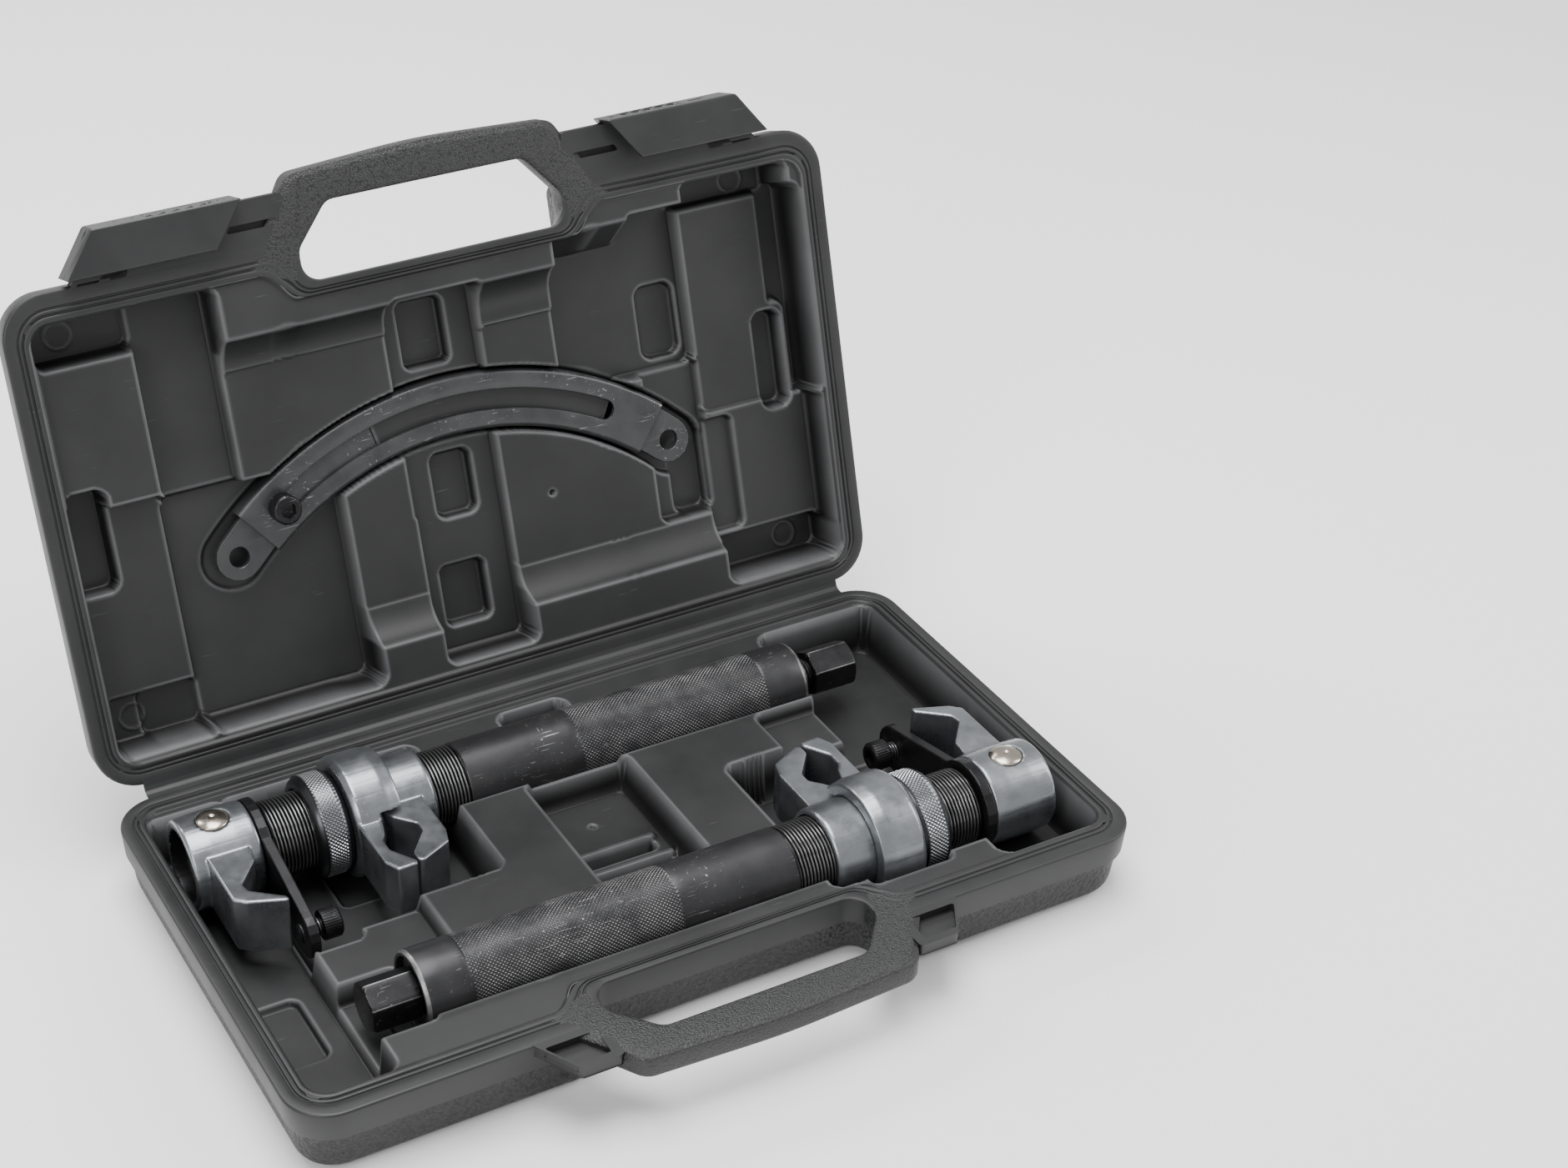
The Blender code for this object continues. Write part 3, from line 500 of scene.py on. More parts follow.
caseHalf = dict(
    rim=42.0, gap=0.3, lidFall=0.42, half=(234.35, 131.0), notch=(75.0, -107.0),
    radii=(24.0, 13.0, 10.0),
    inner=[(-221.5, recessFront, 12), (-96, recessFront, 14), (-80, -99.5, 14),
           (80, -99.5, 14), (96, recessFront, 14), (221.5, recessFront, 12),
           (221.5, 119, 12), (-221.5, 119, 12)],
    # across the rim from the inner edge to the outer: (share, height above the rim plane)
    rimProfile=[(1.04, -1.6), (0.99, -0.9), (0.955, -0.25), (0.92, -0.05), (0.80, -0.05),
                (0.775, -0.3), (0.75, -1.1), (0.71, -1.1), (0.685, -0.25), (0.665, 0.0),
                (0.60, 0.0), (0.58, -0.25), (0.56, -0.9), (0.52, -0.9), (0.50, -0.3),
                (0.475, -0.1), (0.10, -0.1), (0.05, -0.25), (0.015, -0.75), (0.0, -1.6)],
    # down the wall: (depth below the rim, inset)
    wallProfile=[(8.0, 0.5), (15.6, 0.9), (16.4, 1.2), (16.8, 2.2), (17.6, 3.0), (24.0, 3.9),
                 (32.0, 4.7), (36.0, 5.6), (38.5, 7.0), (40.4, 9.0), (41.5, 11.4), (42.0, 14.0)],
    # above this depth both halves are alike; the lid's notch starts to slope at the second
    likeDepth=17.0, fallFrom=3.0)
baseRim = caseHalf["rim"]
lidRim = baseRim + caseHalf["gap"]


# outline of the case moved in by an inset, with the notch behind the grip
def caseOutline(inset=0.0, fall=0.0):
    x, y = (size - inset for size in caseHalf["half"])
    notchX, notchY = caseHalf["notch"][0] + inset, caseHalf["notch"][1] + inset + fall
    big, convex, reflex = caseHalf["radii"]
    big, convex, reflex = max(big - 0.8 * inset, 4), max(convex - inset, 3), reflex + inset / 2
    return roundedPath([(-x, -y, big), (-notchX, -y, convex), (-notchX, notchY, reflex),
                        (notchX, notchY, reflex), (notchX, -y, convex), (x, -y, big),
                        (x, y, big), (-x, y, big)], 10, 14)


# Rim and outer wall: rings from the inner path across the rim and down to the bottom.
def caseShell(half, depthTotal, upward, place):
    outer = caseOutline()
    inner = roundedPath(caseHalf["inner"], 10, 14)
    sign = -1.0 if upward else 1.0
    top = baseRim if upward else lidRim
    rings = [np.column_stack([outer + (inner - outer) * share,
                              np.full(len(outer), top - sign * rise)])
             for share, rise in caseHalf["rimProfile"]]
    like, deepest = caseHalf["likeDepth"], caseHalf["wallProfile"][-1][0]
    for depth, inset in caseHalf["wallProfile"]:
        drop = depth if depth < like else like + (depth - like) * (depthTotal - like) / (
            deepest - like)
        fall = 0.0 if upward else caseHalf["lidFall"] * max(drop - caseHalf["fallFrom"], 0.0)
        outline = caseOutline(inset, fall)
        rings.append(np.column_stack([outline, np.full(len(outline), top + sign * drop)]))
    points, faces = ringStack(rings, capStart=False, capEnd=True)
    obj = putPiece(half + "Shell", points, faces, "case", "case_" + half + "_body",
                   flip=not upward, place=place, stands=("case_" + half,),
                   sharp=42.0)
    obj.data.materials.append(looks["caseLeather"])
    columns = len(outer)
    firstGrain = (len(caseHalf["rimProfile"]) + 4) * columns
    index = np.zeros(len(obj.data.polygons), np.int32)
    index[firstGrain:] = 1
    obj.data.polygons.foreach_set("material_index", index)
    return obj


baseTray = dict(
    land=40.0, step=fineStep, margin=1.6, bound=(-221.5, 221.5, 119.0),
    # pockets as x0, x1, y0, y1, height, corner radius, wall width
    pockets=[
        (-221.0, -178.0, -113.0, 112.0, 9.5, 7, 2.3),
        (-178.5, -150.0, -10.0, 112.0, 9.5, 5, 2.3),
        (-176.0, -71.0, -3.0, 112.0, 7.5, 5, 2.3),
        (-141.5, -95.0, 40.0, 111.0, 3.6, 3, 2.0),
        (-221.0, -191.0, -60.0, -15.0, 6.0, 5, 2.2),
        (-179.0, -118.0, -42.0, -2.0, 30.0, 5, 2.0),
        (-184.0, -146.5, -90.0, -38.0, 17.0, 5, 2.2),
        (-31.0, 27.0, -40.0, 52.0, 17.0, 5, 3.2),
        (-29.0, 19.0, -1.5, 5.5, 8.0, 3, 2.0),
        (-29.0, 22.0, -18.5, -12.0, 8.0, 3, 2.0),
        (107.0, 159.0, 3.0, 50.0, 30.0, 5, 2.0),
        (146.0, 219.5, -3.5, 114.0, 9.5, 7, 2.3),
        (160.0, 219.5, -112.0, 14.0, 9.5, 7, 2.3),
        (70.0, 166.0, -96.0, 17.0, 7.5, 5, 2.3),
        (88.0, 135.5, -101.5, -34.0, 3.6, 3, 2.0),
        (-18.0, 20.0, 96.0, 114.0, 14.0, 5, 2.2)],
    # raised lips in the finger well, in the same terms
    lips=[(-31.0, 22.0, 5.5, 10.0, 19.5, 2, 2.2), (-31.0, 25.0, -11.5, -7.0, 20.0, 2, 2.2),
          (-31.0, 26.0, -24.0, -19.0, 19.5, 2, 2.2)],
    beds=[("rear", -73.0, 148.0), ("front", -161.0, 72.0)], bedRadius=21.9,
    needle=(-3.0, 30.0, 1.3))


# The recess's front edge steps in behind the handle along an S curve.
def frontLine(x, outerY=recessFront, innerY=-99.5, inside=80.0, outside=96.0):
    return outerY + (innerY - outerY) * smooth((outside - np.abs(x)) / (outside - inside))


# Grid over the recess: x runs across, y from the front edge's curve to the back edge.
def traySurface(tray):
    margin = tray["margin"]
    left, right, back = tray["bound"][0] - margin, tray["bound"][1] + margin, tray["bound"][2]
    rows = int((right - left) / tray["step"])
    columns = int((back + margin - (recessFront - margin)) / tray["step"])
    u = np.linspace(0, 1, rows)[:, None]
    v = np.linspace(0, 1, columns)[None, :]
    x = left + (right - left) * u + 0 * v
    near = frontLine(x) - margin
    y = near + (back + margin - near) * v
    return x, y, rows, columns


# 1 inside the recess: a rounded rectangle whose front edge follows the step.
def recessMask(x, y, left, right, back, wall=1.6):
    return boxMask(x, y, left, right, recessFront, back, 12, wall) * smooth(
        0.5 + (y - frontLine(x)) / wall)


# the field brought to a box's level within it, where choose keeps that: np.maximum, np.minimum
def pressed(field, x, y, box, choose):
    x0, x1, y0, y1, level, radius, wall = box
    mask = boxMask(x, y, x0, x1, y0, y1, radius, wall)
    return choose(field, field * (1 - mask) + level * mask)


# 1 over a spindle's half-round bed, and the half height of its circle at each y
def bedOf(tray, x, y, side, x0, x1):
    axisY, axisZ = spindleAxis(side)
    radius = tray["bedRadius"]
    inside = boxMask(x, y, x0, x1, axisY - radius, axisY + radius, 0.5, 2.2)
    return inside, axisZ, np.sqrt(np.maximum(radius ** 2 - (y - axisY) ** 2, 0))


# how far each point of a height field stands above its neighbourhood, as 0 to 1
def convexity(height, reach=2, full=0.35):
    around = height
    for _ in range(reach):
        padded = np.pad(around, 1, mode="edge")
        around = (padded[:-2, 1:-1] + padded[2:, 1:-1] + padded[1:-1, :-2]
                  + padded[1:-1, 2:]) / 4
    return np.clip((height - around) / full, 0, 1)


# needle holes' depth, and how far a tray's edge lies under the rim plane
needleDeep, trayStep = 2.5, 0.25


def spindleAxis(side):
    place = joints[side + "_ring_nut_turn"]["pos_m"]
    return place[1] / mm, place[2] / mm


def makeBaseTray():
    tray = baseTray
    x, y, rows, columns = traySurface(tray)
    z = np.full_like(x, tray["land"])
    for box in tray["pockets"]:
        z = pressed(z, x, y, box, np.minimum)
    for box in tray["lips"]:
        z = pressed(z, x, y, box, np.maximum)
    needleX, needleY, needleR = tray["needle"]
    z = z - needleDeep * smooth((needleR + 0.6 - np.hypot(x - needleX, y - needleY)) / 1.2)
    for bed in tray["beds"]:
        inside, axisZ, rise = bedOf(tray, x, y, *bed)
        z = np.minimum(z, z * (1 - inside) + np.minimum(axisZ - rise, z) * inside)
    recess = recessMask(x, y, *tray["bound"])
    z = (baseRim - trayStep) * (1 - recess) + z * recess
    faces = gridFaces(rows, columns)[:, ::-1]
    # crest carries the painted edge highlight and crease the painted crease shade of the case plastic
    return putPiece("baseTray", np.stack([x, y, z], -1), faces.tolist(), "case",
                    "case_base_body", flip=False, sharp=179.0,
                    stands=("case_base",), crest=convexity(z), crease=convexity(-z))


lidTray = dict(
    land=2.0, step=fineStep, margin=1.6, bound=(-221.0, 221.0, 119.25),
    # pockets as x0, x1, s0, s1, depth, corner radius, wall width; s runs from the hinge
    pockets=[
        (-219.0, -166.0, 20.0, 150.0, 22.0, 6, 2.2),
        (-219.0, -166.0, 148.0, 252.0, 11.0, 6, 2.0),
        (-219.0, -165.0, 20.0, 46.0, 30.0, 6, 2.2),
        (-219.0, -165.0, 226.0, 252.0, 30.0, 6, 2.2),
        (-219.0, -197.0, 104.0, 160.0, 33.0, 6, 2.2),
        (-167.0, -123.0, 140.0, 250.0, 26.0, 6, 2.2),
        (-167.0, -69.0, 20.0, 145.0, 30.5, 6, 2.4),
        (-124.0, -28.0, 100.0, 204.0, 17.5, 5, 2.2),
        (-30.5, 23.0, 20.0, 222.0, 24.0, 5, 2.1),
        (-20.0, 6.0, 34.0, 68.0, 32.0, 4, 2.0),
        (-20.0, 6.0, 180.0, 216.0, 32.0, 4, 2.0),
        (22.0, 121.0, 58.0, 196.0, 17.5, 5, 2.0),
        (-70.0, -28.0, 58.0, 110.0, 17.5, 5, 2.2),
        (67.0, 152.0, 146.0, 238.0, 30.5, 6, 2.0),
        (116.0, 152.0, 60.0, 150.0, 26.0, 6, 2.0),
        (147.0, 218.0, 20.0, 118.0, 20.0, 6, 2.2),
        (151.0, 218.5, 116.0, 236.0, 22.0, 6, 2.2),
        (147.0, 218.0, 20.0, 42.0, 31.0, 6, 2.2),
        (147.0, 212.0, 232.0, 250.0, 31.0, 6, 2.2),
        (203.0, 218.5, 116.0, 236.0, 30.0, 5, 2.6),
        (124.0, 147.0, 152.0, 193.0, 35.0, 6, 2.4),
        (129.0, 149.5, 61.0, 103.0, 32.5, 6, 2.4),
        (-15.0, 8.0, 95.0, 131.0, 31.0, 5, 2.4),
        (149.0, 168.0, 46.0, 112.0, 24.0, 4, 2.0),
        (-199.0, -166.5, 20.0, 46.0, 33.0, 5, 2.2)],
    # a rim that stands up around the right-hand pocket, and the pocket in it
    island=(186.5, 212.5, 104.0, 170.0, 22.0, 7, 2.6),
    well=(191.0, 208.0, 109.5, 164.5, 33.0, 6, 2.6),
    # the clamp recess ramps up to the notch behind the grip
    ramp=dict(across=(52.0, 114.0), along=(190.0, 270.0), top=237.0, slope=0.6),
    # round moulding marks at (x, s), each a thin raised ring, and a needle hole
    marks=dict(at=[(-200.0, 239.0), (-203.0, 33.0), (192.0, 241.0), (198.0, 31.0)],
               radius=7.0, height=0.55, width=0.8),
    needle=(51.0, 95.0, 1.4),
    beds=[("rear", -70.5, -29.5), ("rear", 22.0, 150.0), ("front", -161.0, 68.0)],
    bedRadius=21.9)
# the link bar: an arched channel; radius and middle give its arc
channel = dict(radius=190.0, middleS=-34.0, half=16.0, sheet=2.6, top=19.4, deep=12.0,
               bend=3.0, angles=(-38.5, 38.0), slot=(-33.5, 28.5), slotHalf=5.6, steps=150,
               screwAt=-33.0)
# its groove in the lid, with a raised core that stands inside the channel
groove = dict(clear=1.4, reach=44.0, depth=32.2, coreHalf=11.4, core=(-14.3, 30.0),
              coreDepth=23.2)


# 1 inside the link bar's groove: closer to an arc, with half-round ends, than half the width
def arcMask(x, s, wall=2.2):
    away = np.hypot(x, s - channel["middleS"]) - channel["radius"]
    angle = np.arctan2(x, s - channel["middleS"])
    past = np.maximum(np.abs(angle) - math.radians(groove["reach"]), 0) * channel["radius"]
    distance = np.hypot(away, past) - channel["half"] - groove["clear"]
    return smooth(0.5 - distance / wall)


# 1 on the raised core that stands inside the channel, between two angles of the arc
def arcBand(x, s, wall=2.0):
    away = np.abs(np.hypot(x, s - channel["middleS"]) - channel["radius"])
    angle = np.degrees(np.arctan2(x, s - channel["middleS"]))
    low, high = groove["core"]
    run = math.radians(1) * channel["radius"]
    return (smooth(0.5 - (away - groove["coreHalf"]) / wall)
            * smooth((angle - low) * run / wall) * smooth((high - angle) * run / wall))


def makeLidTray():
    tray = lidTray
    x, y, rows, columns = traySurface(tray)
    s = hingeY - y
    depth = np.full_like(x, tray["land"])
    for box in tray["pockets"]:
        depth = pressed(depth, x, s, box, np.maximum)
    depth = pressed(depth, x, s, tray["island"], np.minimum)
    depth = pressed(depth, x, s, tray["well"], np.maximum)
    ramp = tray["ramp"]
    climb = tray["land"] + np.maximum(ramp["top"] - s, 0) / ramp["slope"]
    inside = boxMask(x, s, *ramp["across"], *ramp["along"], 4, 3.5)
    depth = depth * (1 - inside) + np.minimum(depth, climb) * inside
    for markX, markS in tray["marks"]["at"]:
        away = np.hypot(x - markX, s - markS) - tray["marks"]["radius"]
        depth = depth - tray["marks"]["height"] * np.exp(-(away / tray["marks"]["width"]) ** 2)
    sunk = arcMask(x, s)
    depth = np.maximum(depth, depth * (1 - sunk) + groove["depth"] * sunk)
    core = arcBand(x, s)
    depth = depth * (1 - core) + groove["coreDepth"] * core
    needleX, needleS, needleR = tray["needle"]
    depth = depth + needleDeep * smooth(
        (needleR + 0.6 - np.hypot(x - needleX, s - needleS)) / 1.2)
    for bed in tray["beds"]:
        inside, axisZ, rise = bedOf(tray, x, y, *bed)
        round_ = axisZ + rise - lidRim
        depth = np.maximum(depth, depth * (1 - inside) + np.maximum(round_, depth) * inside)
    recess = recessMask(x, y, *tray["bound"])
    depth = trayStep * (1 - recess) + depth * recess
    z = lidRim + depth
    faces = gridFaces(rows, columns)
    # crest carries the painted edge highlight and crease the painted crease shade of the case plastic
    return putPiece("lidTray", np.stack([x, y, z], -1), faces.tolist(), "case",
                    "case_lid_body", flip=False, sharp=179.0, place=opened,
                    stands=("case_lid",), crest=convexity(-depth), crease=convexity(depth))


handle = dict(outer=[(-106, -118, 0), (-100, -126, 10), (-83, -150, 3), (-75, -163, 10),
                     (0, -167.0, 400), (75, -163, 10), (83, -150, 3), (100, -126, 10),
                     (106, -118, 0)],
              inner=[(-75.6, -108, 0), (-75, -116, 4), (-75, -124, 9), (-56, -146, 9),
                     (0, -146.1, 400), (56, -146, 9), (75, -124, 9), (75, -116, 4),
                     (75.6, -108, 0)],
              # cross-section as (share from hole to outside, depth below the face)
              section=[(0.0, 1.2), (0.02, 0.5), (0.06, 0.15), (0.12, 0.08), (0.80, 0.08),
                       (0.86, 0.25), (0.90, 0.9), (0.97, 1.3), (1.0, 2.2), (1.0, 11.0),
                       (0.97, 12.8), (0.90, 13.8), (0.80, 14.0), (0.15, 14.0), (0.06, 13.6),
                       (0.01, 12.6), (0.0, 11.0)])


# A cross-section carried round the grip, between the hole's edge and the outer edge.
def makeHandle(half, upward, place):
    outer = roundedPath(handle["outer"], 6, 8, closed=False)
    inner = roundedPath(handle["inner"], 6, 8, closed=False)
    top = baseRim if upward else lidRim
    sign = -1.0 if upward else 1.0
    share, low = np.array(handle["section"]).T
    rings = [np.column_stack([hole + (edge - hole) * share[:, None], top + sign * low])
             for hole, edge in zip(inner, outer)]
    points, faces = ringStack(rings)
    return putPiece(half + "Handle", points, faces, "handle", "case_" + half + "_body",
                    place=place)


for half, makeTray, depthTotal, upward, place in (
        ("base", makeBaseTray, 42.0, True, None), ("lid", makeLidTray, 38.0, False, opened)):
    makeTray()
    caseShell(half, depthTotal, upward, place)
    makeHandle(half, upward, place)
    print("case", half, "made")


# corners of an outline whose ends lean towards the grip, in clockwise order
def leaning(sign, outX, inX, y0, y1, outSlope, inSlope, radius=1.5):
    run = y0 - y1
    corners = [(sign * outX, y0, radius), (sign * (outX - outSlope * run), y1, radius),
               (sign * (inX - inSlope * run), y1, radius), (sign * inX, y0, radius)]
    return corners if sign > 0 else corners[::-1]


# blocks beside the grip: an outline and a hollow in it, the far face and the hollow's floor;
# the root of the rail runs on past its end and meets the latch's near edge
blocks = dict(
    Keeper=dict(half="base", outer=(119.0, 82.0, -126.0, -154.0, 0.57, 0.0),
                hollow=(114.5, 86.0, -134.0, -151.0, 0.57, 0.0), far=35.0, floor=37.2),
    Rail=dict(half="lid", outer=(183.0, 80.0, -126.0, -154.0, 0.72, 0.0),
              hollow=(113.0, 84.5, -139.0, -143.5, 0.72, 0.0), far=49.3, floor=46.8),
    RailFoot=dict(half="lid", outer=(199.5, 172.0, -124.0, -133.8, 0.75, 0.75),
                  hollow=(195.0, 176.0, -127.5, -131.5, 0.75, 0.75), far=49.3, floor=44.0))
blockStep = 0.16


# Outline rings from the far face up the side, over the edge and down into the hollow. The
# outline runs clockwise, so an inset here flares the edge outwards by that much.
def leaningBlock(name, sign, half, outer, hollow, far, floor):
    up = 1.0 if half == "base" else -1.0
    top = baseRim - blockStep if half == "base" else lidRim + blockStep
    rings = []
    for corners, z, inset in ((outer, far, 0.5), (outer, far + up * 0.5, 0.0),
                              (outer, top - up * 0.6, 0.0), (outer, top - up * 0.15, 0.2),
                              (outer, top, 0.7), (hollow, top, -0.5),
                              (hollow, top - up * 0.2, -0.1), (hollow, top - up * 0.7, 0.0),
                              (hollow, floor + up * 0.5, 0.2), (hollow, floor, 0.8)):
        path = roundedPath(leaning(sign, *corners), 5, 8)
        path = path - outward(path) * inset
        rings.append(np.column_stack([path, np.full(len(path), z)]))
    points, faces = ringStack(rings)
    return putPiece(name, points, faces, "case", "case_" + half + "_body",
                    place=opened if half == "lid" else None, stands=("case_" + half,))


latch = dict(outX=198.5, inX=120.8, lean=0.75, nearY=-134.5, farY=-157.4, lipY=-154.4,
             low=34.6, high=49.7, wall=1.9, step=0.55, endWall=2.4,
             # along the face as shares: slot, ribbed recess, short slot
             slot=(0.18, 0.31), ribbed=(0.37, 0.84), shortSlot=(0.875, 0.93),
             ribPitch=7.2, ribWidth=1.15, ribDepth=1.15, chevron=0.9)


# depth sunk into the outer face: slots, and a recess less V-shaped ribs that repeat along it
def latchRelief(share, height, length):
    half = (latch["high"] - latch["low"]) / 2 + latch["wall"]
    q = np.abs(height) / half
    band = smooth((0.72 - q) * 8)
    ribbed = smooth((share - latch["ribbed"][0]) * length / 1.2) * smooth(
        (latch["ribbed"][1] - share) * length / 1.2) * band
    ribPlace = (share * length + latch["chevron"] * np.abs(height)) % latch["ribPitch"]
    rib = smooth(1.6 - np.abs(ribPlace - latch["ribPitch"] / 2) / latch["ribWidth"])
    slots = np.zeros_like(share)
    for start, end in (latch["slot"], latch["shortSlot"]):
        slots = np.maximum(slots, smooth((share - start) * length / 0.8)
                           * smooth((end - share) * length / 0.8) * smooth((0.2 - q) * 9))
    return latch["ribDepth"] * np.maximum(ribbed * (1 - rib), slots)


def makeLatch(name, sign):
    low, high, wall = latch["low"], latch["high"], latch["wall"]
    near, far, lip = latch["nearY"], latch["farY"], latch["lipY"]
    section = roundedPath([(near, low - wall, 0.7), (far, low - wall, 0.9),
                           (far, high + wall, 0.9), (near, high + wall, 0.7),
                           (near, high, 0.4), (lip, high, 0.5), (lip, low, 0.5),
                           (near, low, 0.4)], 4, [10, 40, 10, 1, 8, 10, 8, 1])
    away = outward(section)
    length = latch["outX"] - latch["inX"]
    inner = np.arange(1.2, length - 1.2, latch["step"])
    along = np.concatenate([[0.0, 0.3], inner, [length - 1.2, length - 0.3, length]])
    inset = np.concatenate([[0.35, 0.1], np.zeros(len(inner)), [0.0, 0.1, 0.35]])
    middle = (low + high) / 2
    y = section[:, 0][None, :] + away[:, 0] * inset[:, None]
    z = section[:, 1][None, :] + away[:, 1] * inset[:, None]
    share = along[:, None] / length + 0 * y
    onFace = section[:, 0] < far + 0.02
    y = y + np.where(onFace, latchRelief(share, z - middle, length), 0.0)
    # the cavity is shut to a slit over the end wall, which closes the outer end
    cavity = (section[:, 1] > low - 0.3) & (section[:, 1] < high + 0.3) & (section[:, 0] > far + 1)
    shut = smooth((latch["endWall"] + 0.3 - along[:, None]) / 0.3)
    z = np.where(cavity, z * (1 - shut) + (middle + 0.01 * np.sign(z - middle)) * shut, z)
    x = sign * (latch["outX"] - along[:, None] + latch["lean"] * (section[:, 0] - near))
    points, faces = ringStack(np.stack([x + 0 * y, y, z], -1))
    return putPiece(name + "Shell", points, faces, "latch", name + "_body",
                    place=opened, stands=(name,))


for sideName, sign in (("left", -1), ("right", 1)):
    for blockName, block in blocks.items():
        leaningBlock(sideName + blockName, sign, **block)
    makeLatch("latch_" + sideName, sign)

hinge = dict(half=212.0, thick=1.3, steps=60,
             path=[(129.6, 41.2, 0), (133.2, 41.4, 3), (135.6, 42.6, 2.5), (136.9, 45.0, 3),
                   (138.4, 48.8, 0)])


# a thin strip of even thickness along the hinge line, bent between the two halves
def makeHinge():
    line = roundedPath(hinge["path"], 5, 2, closed=False)
    along = np.gradient(line, axis=0)
    along /= np.linalg.norm(along, axis=1)[:, None]
    side = np.stack([-along[:, 1], along[:, 0]], 1) * hinge["thick"] / 2
    section = np.concatenate([line + side, (line - side)[::-1]])
    rings = [np.column_stack([np.full(len(section), x), section])
             for x in np.linspace(-hinge["half"], hinge["half"], hinge["steps"])]
    points, faces = ringStack(rings)
    obj = putPiece("hingeStrip", points, faces, "case", None,
                   stands=("hinge_web",))
    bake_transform(obj)


makeHinge()
print("latches, keepers, rails and hinge made")

# each spindle's own frame: x runs from the head along its axis
spindlePlace = {side: np.array(Matrix.Translation((headX, *spindleAxis(side)))
                               @ Matrix.Rotation(math.pi, 4, turnAxis))
                for side, headX, turnAxis in (("rear", -214.5, "X"), ("front", 208.5, "Y"))}
plateTilt = np.array(Matrix.Rotation(math.radians(7.0), 4, "X"))


# rows of a turned surface: position along the axis, radius round it, and crest from 0 to 1
def plainRows(pairs, columns, crest=0.0):
    x = np.array([pair[0] for pair in pairs], float)
    r = np.array([pair[1] for pair in pairs], float)[:, None] + np.zeros(columns)
    rub = np.array([pair[2] if len(pair) > 2 else crest for pair in pairs])
    return x, r, rub[:, None] + np.zeros(columns)


# thread: radius falls from the crest by depth times a wave of axial phase less turn angle
def threadRows(x0, x1, radius, pitch, depth, columns, perTurn=10):
    x = np.linspace(x0, x1, int((x1 - x0) / pitch * perTurn) + 1)
    turn = np.arange(columns) / columns
    phase = (x[:, None] / pitch - turn) % 1.0
    wave = smooth(1.25 * np.abs(2 * phase - 1))
    fade = smooth((x - x0) / pitch) * smooth((x1 - x) / pitch)
    drop = depth * ((1 - wave) * fade[:, None] + 0.25 * (1 - fade[:, None]))
    return x, radius - drop, wave * fade[:, None]


# knurl: two opposed helices of V grooves; the deeper of the two grooves cuts each point
def knurlRows(x0, x1, radius, starts, depth, columns, angle=42.0):
    pitch = 2 * math.pi * radius / starts / math.tan(math.radians(angle))
    rows = max(int(round((x1 - x0) / pitch * 4)), 4)
    x = x0 + (x1 - x0) * np.arange(rows + 1) / rows
    turn = starts * np.arange(columns)[None, :] / columns
    step = (np.arange(rows + 1) / 4)[:, None]
    groove = np.maximum(np.abs(2 * ((turn + step) % 1.0) - 1),
                        np.abs(2 * ((turn - step) % 1.0) - 1))
    fade = smooth((x - x0) / 1.5) * smooth((x1 - x) / 1.5)
    return x, radius - depth * groove * fade[:, None], (1 - groove) * fade[:, None]


# hexagon: radius to the flats over the cosine of the angle from the flat, cut by a cone
def hexRows(pairs, flats, columns, crest=0.0):
    angle = 2 * np.pi * np.arange(columns) / columns
    sector = (angle + np.pi / 6) % (np.pi / 3) - np.pi / 6
    corner = np.abs(np.abs(sector) - np.pi / 6) < 1.6 * np.pi / columns
    rows = [np.minimum(flats / 2 / np.cos(sector), flats / 2 * 1.1547 * pair[1])
            for pair in pairs]
    rub = np.zeros((len(pairs), columns)) + np.where(corner, crest, 0.0)
    return np.array([pair[0] for pair in pairs], float), np.array(rows), rub


def turned(name, look, body, parts, columns, place, stands, loop=False, centre=(0, 0),
           sharp=32.0):
    x = np.concatenate([part[0] for part in parts])
    r = np.concatenate([part[1] for part in parts])
    crest = np.concatenate([part[2] for part in parts])
    angle = 2 * np.pi * np.arange(columns) / columns
    points = np.stack([x[:, None] + 0 * r, centre[0] + r * np.cos(angle),
                       centre[1] + r * np.sin(angle)], -1)
    flat, faces = ringStack(points, loop=loop)
    return putPiece(name, flat, faces, look, body, flip=False, place=place,
                    stands=stands, crest=crest, sharp=sharp)


tube = dict(start=43.6, threadEnd=154.0, knurlStart=219.0, knurlEnd=335.0, end=359.0,
            radius=21.15, thread=20.9, bore=15.3, pitch=2.0, depth=1.05, starts=64,
            knurlDepth=0.5, columns=256, threadColumns=60)
ringNut = dict(x0=66.0, x1=85.0, band=(69.2, 81.8), radius=27.9, bore=21.2, starts=80,
               knurlDepth=0.75, columns=320)
driveScrew = dict(hexagon={"rear": 369.0, "front": 357.6}, flats=24.0, length=26.0,
                  shank=9.0, pitch=2.5, depth=0.9, columns=72)
lockScrew = dict(centre=66.5, shank=5.0, head=8.0, socket=8.0, columns=144)
pin = dict(at=18.2, radius=8.5, under=22.9, top=26.1, columns=64)


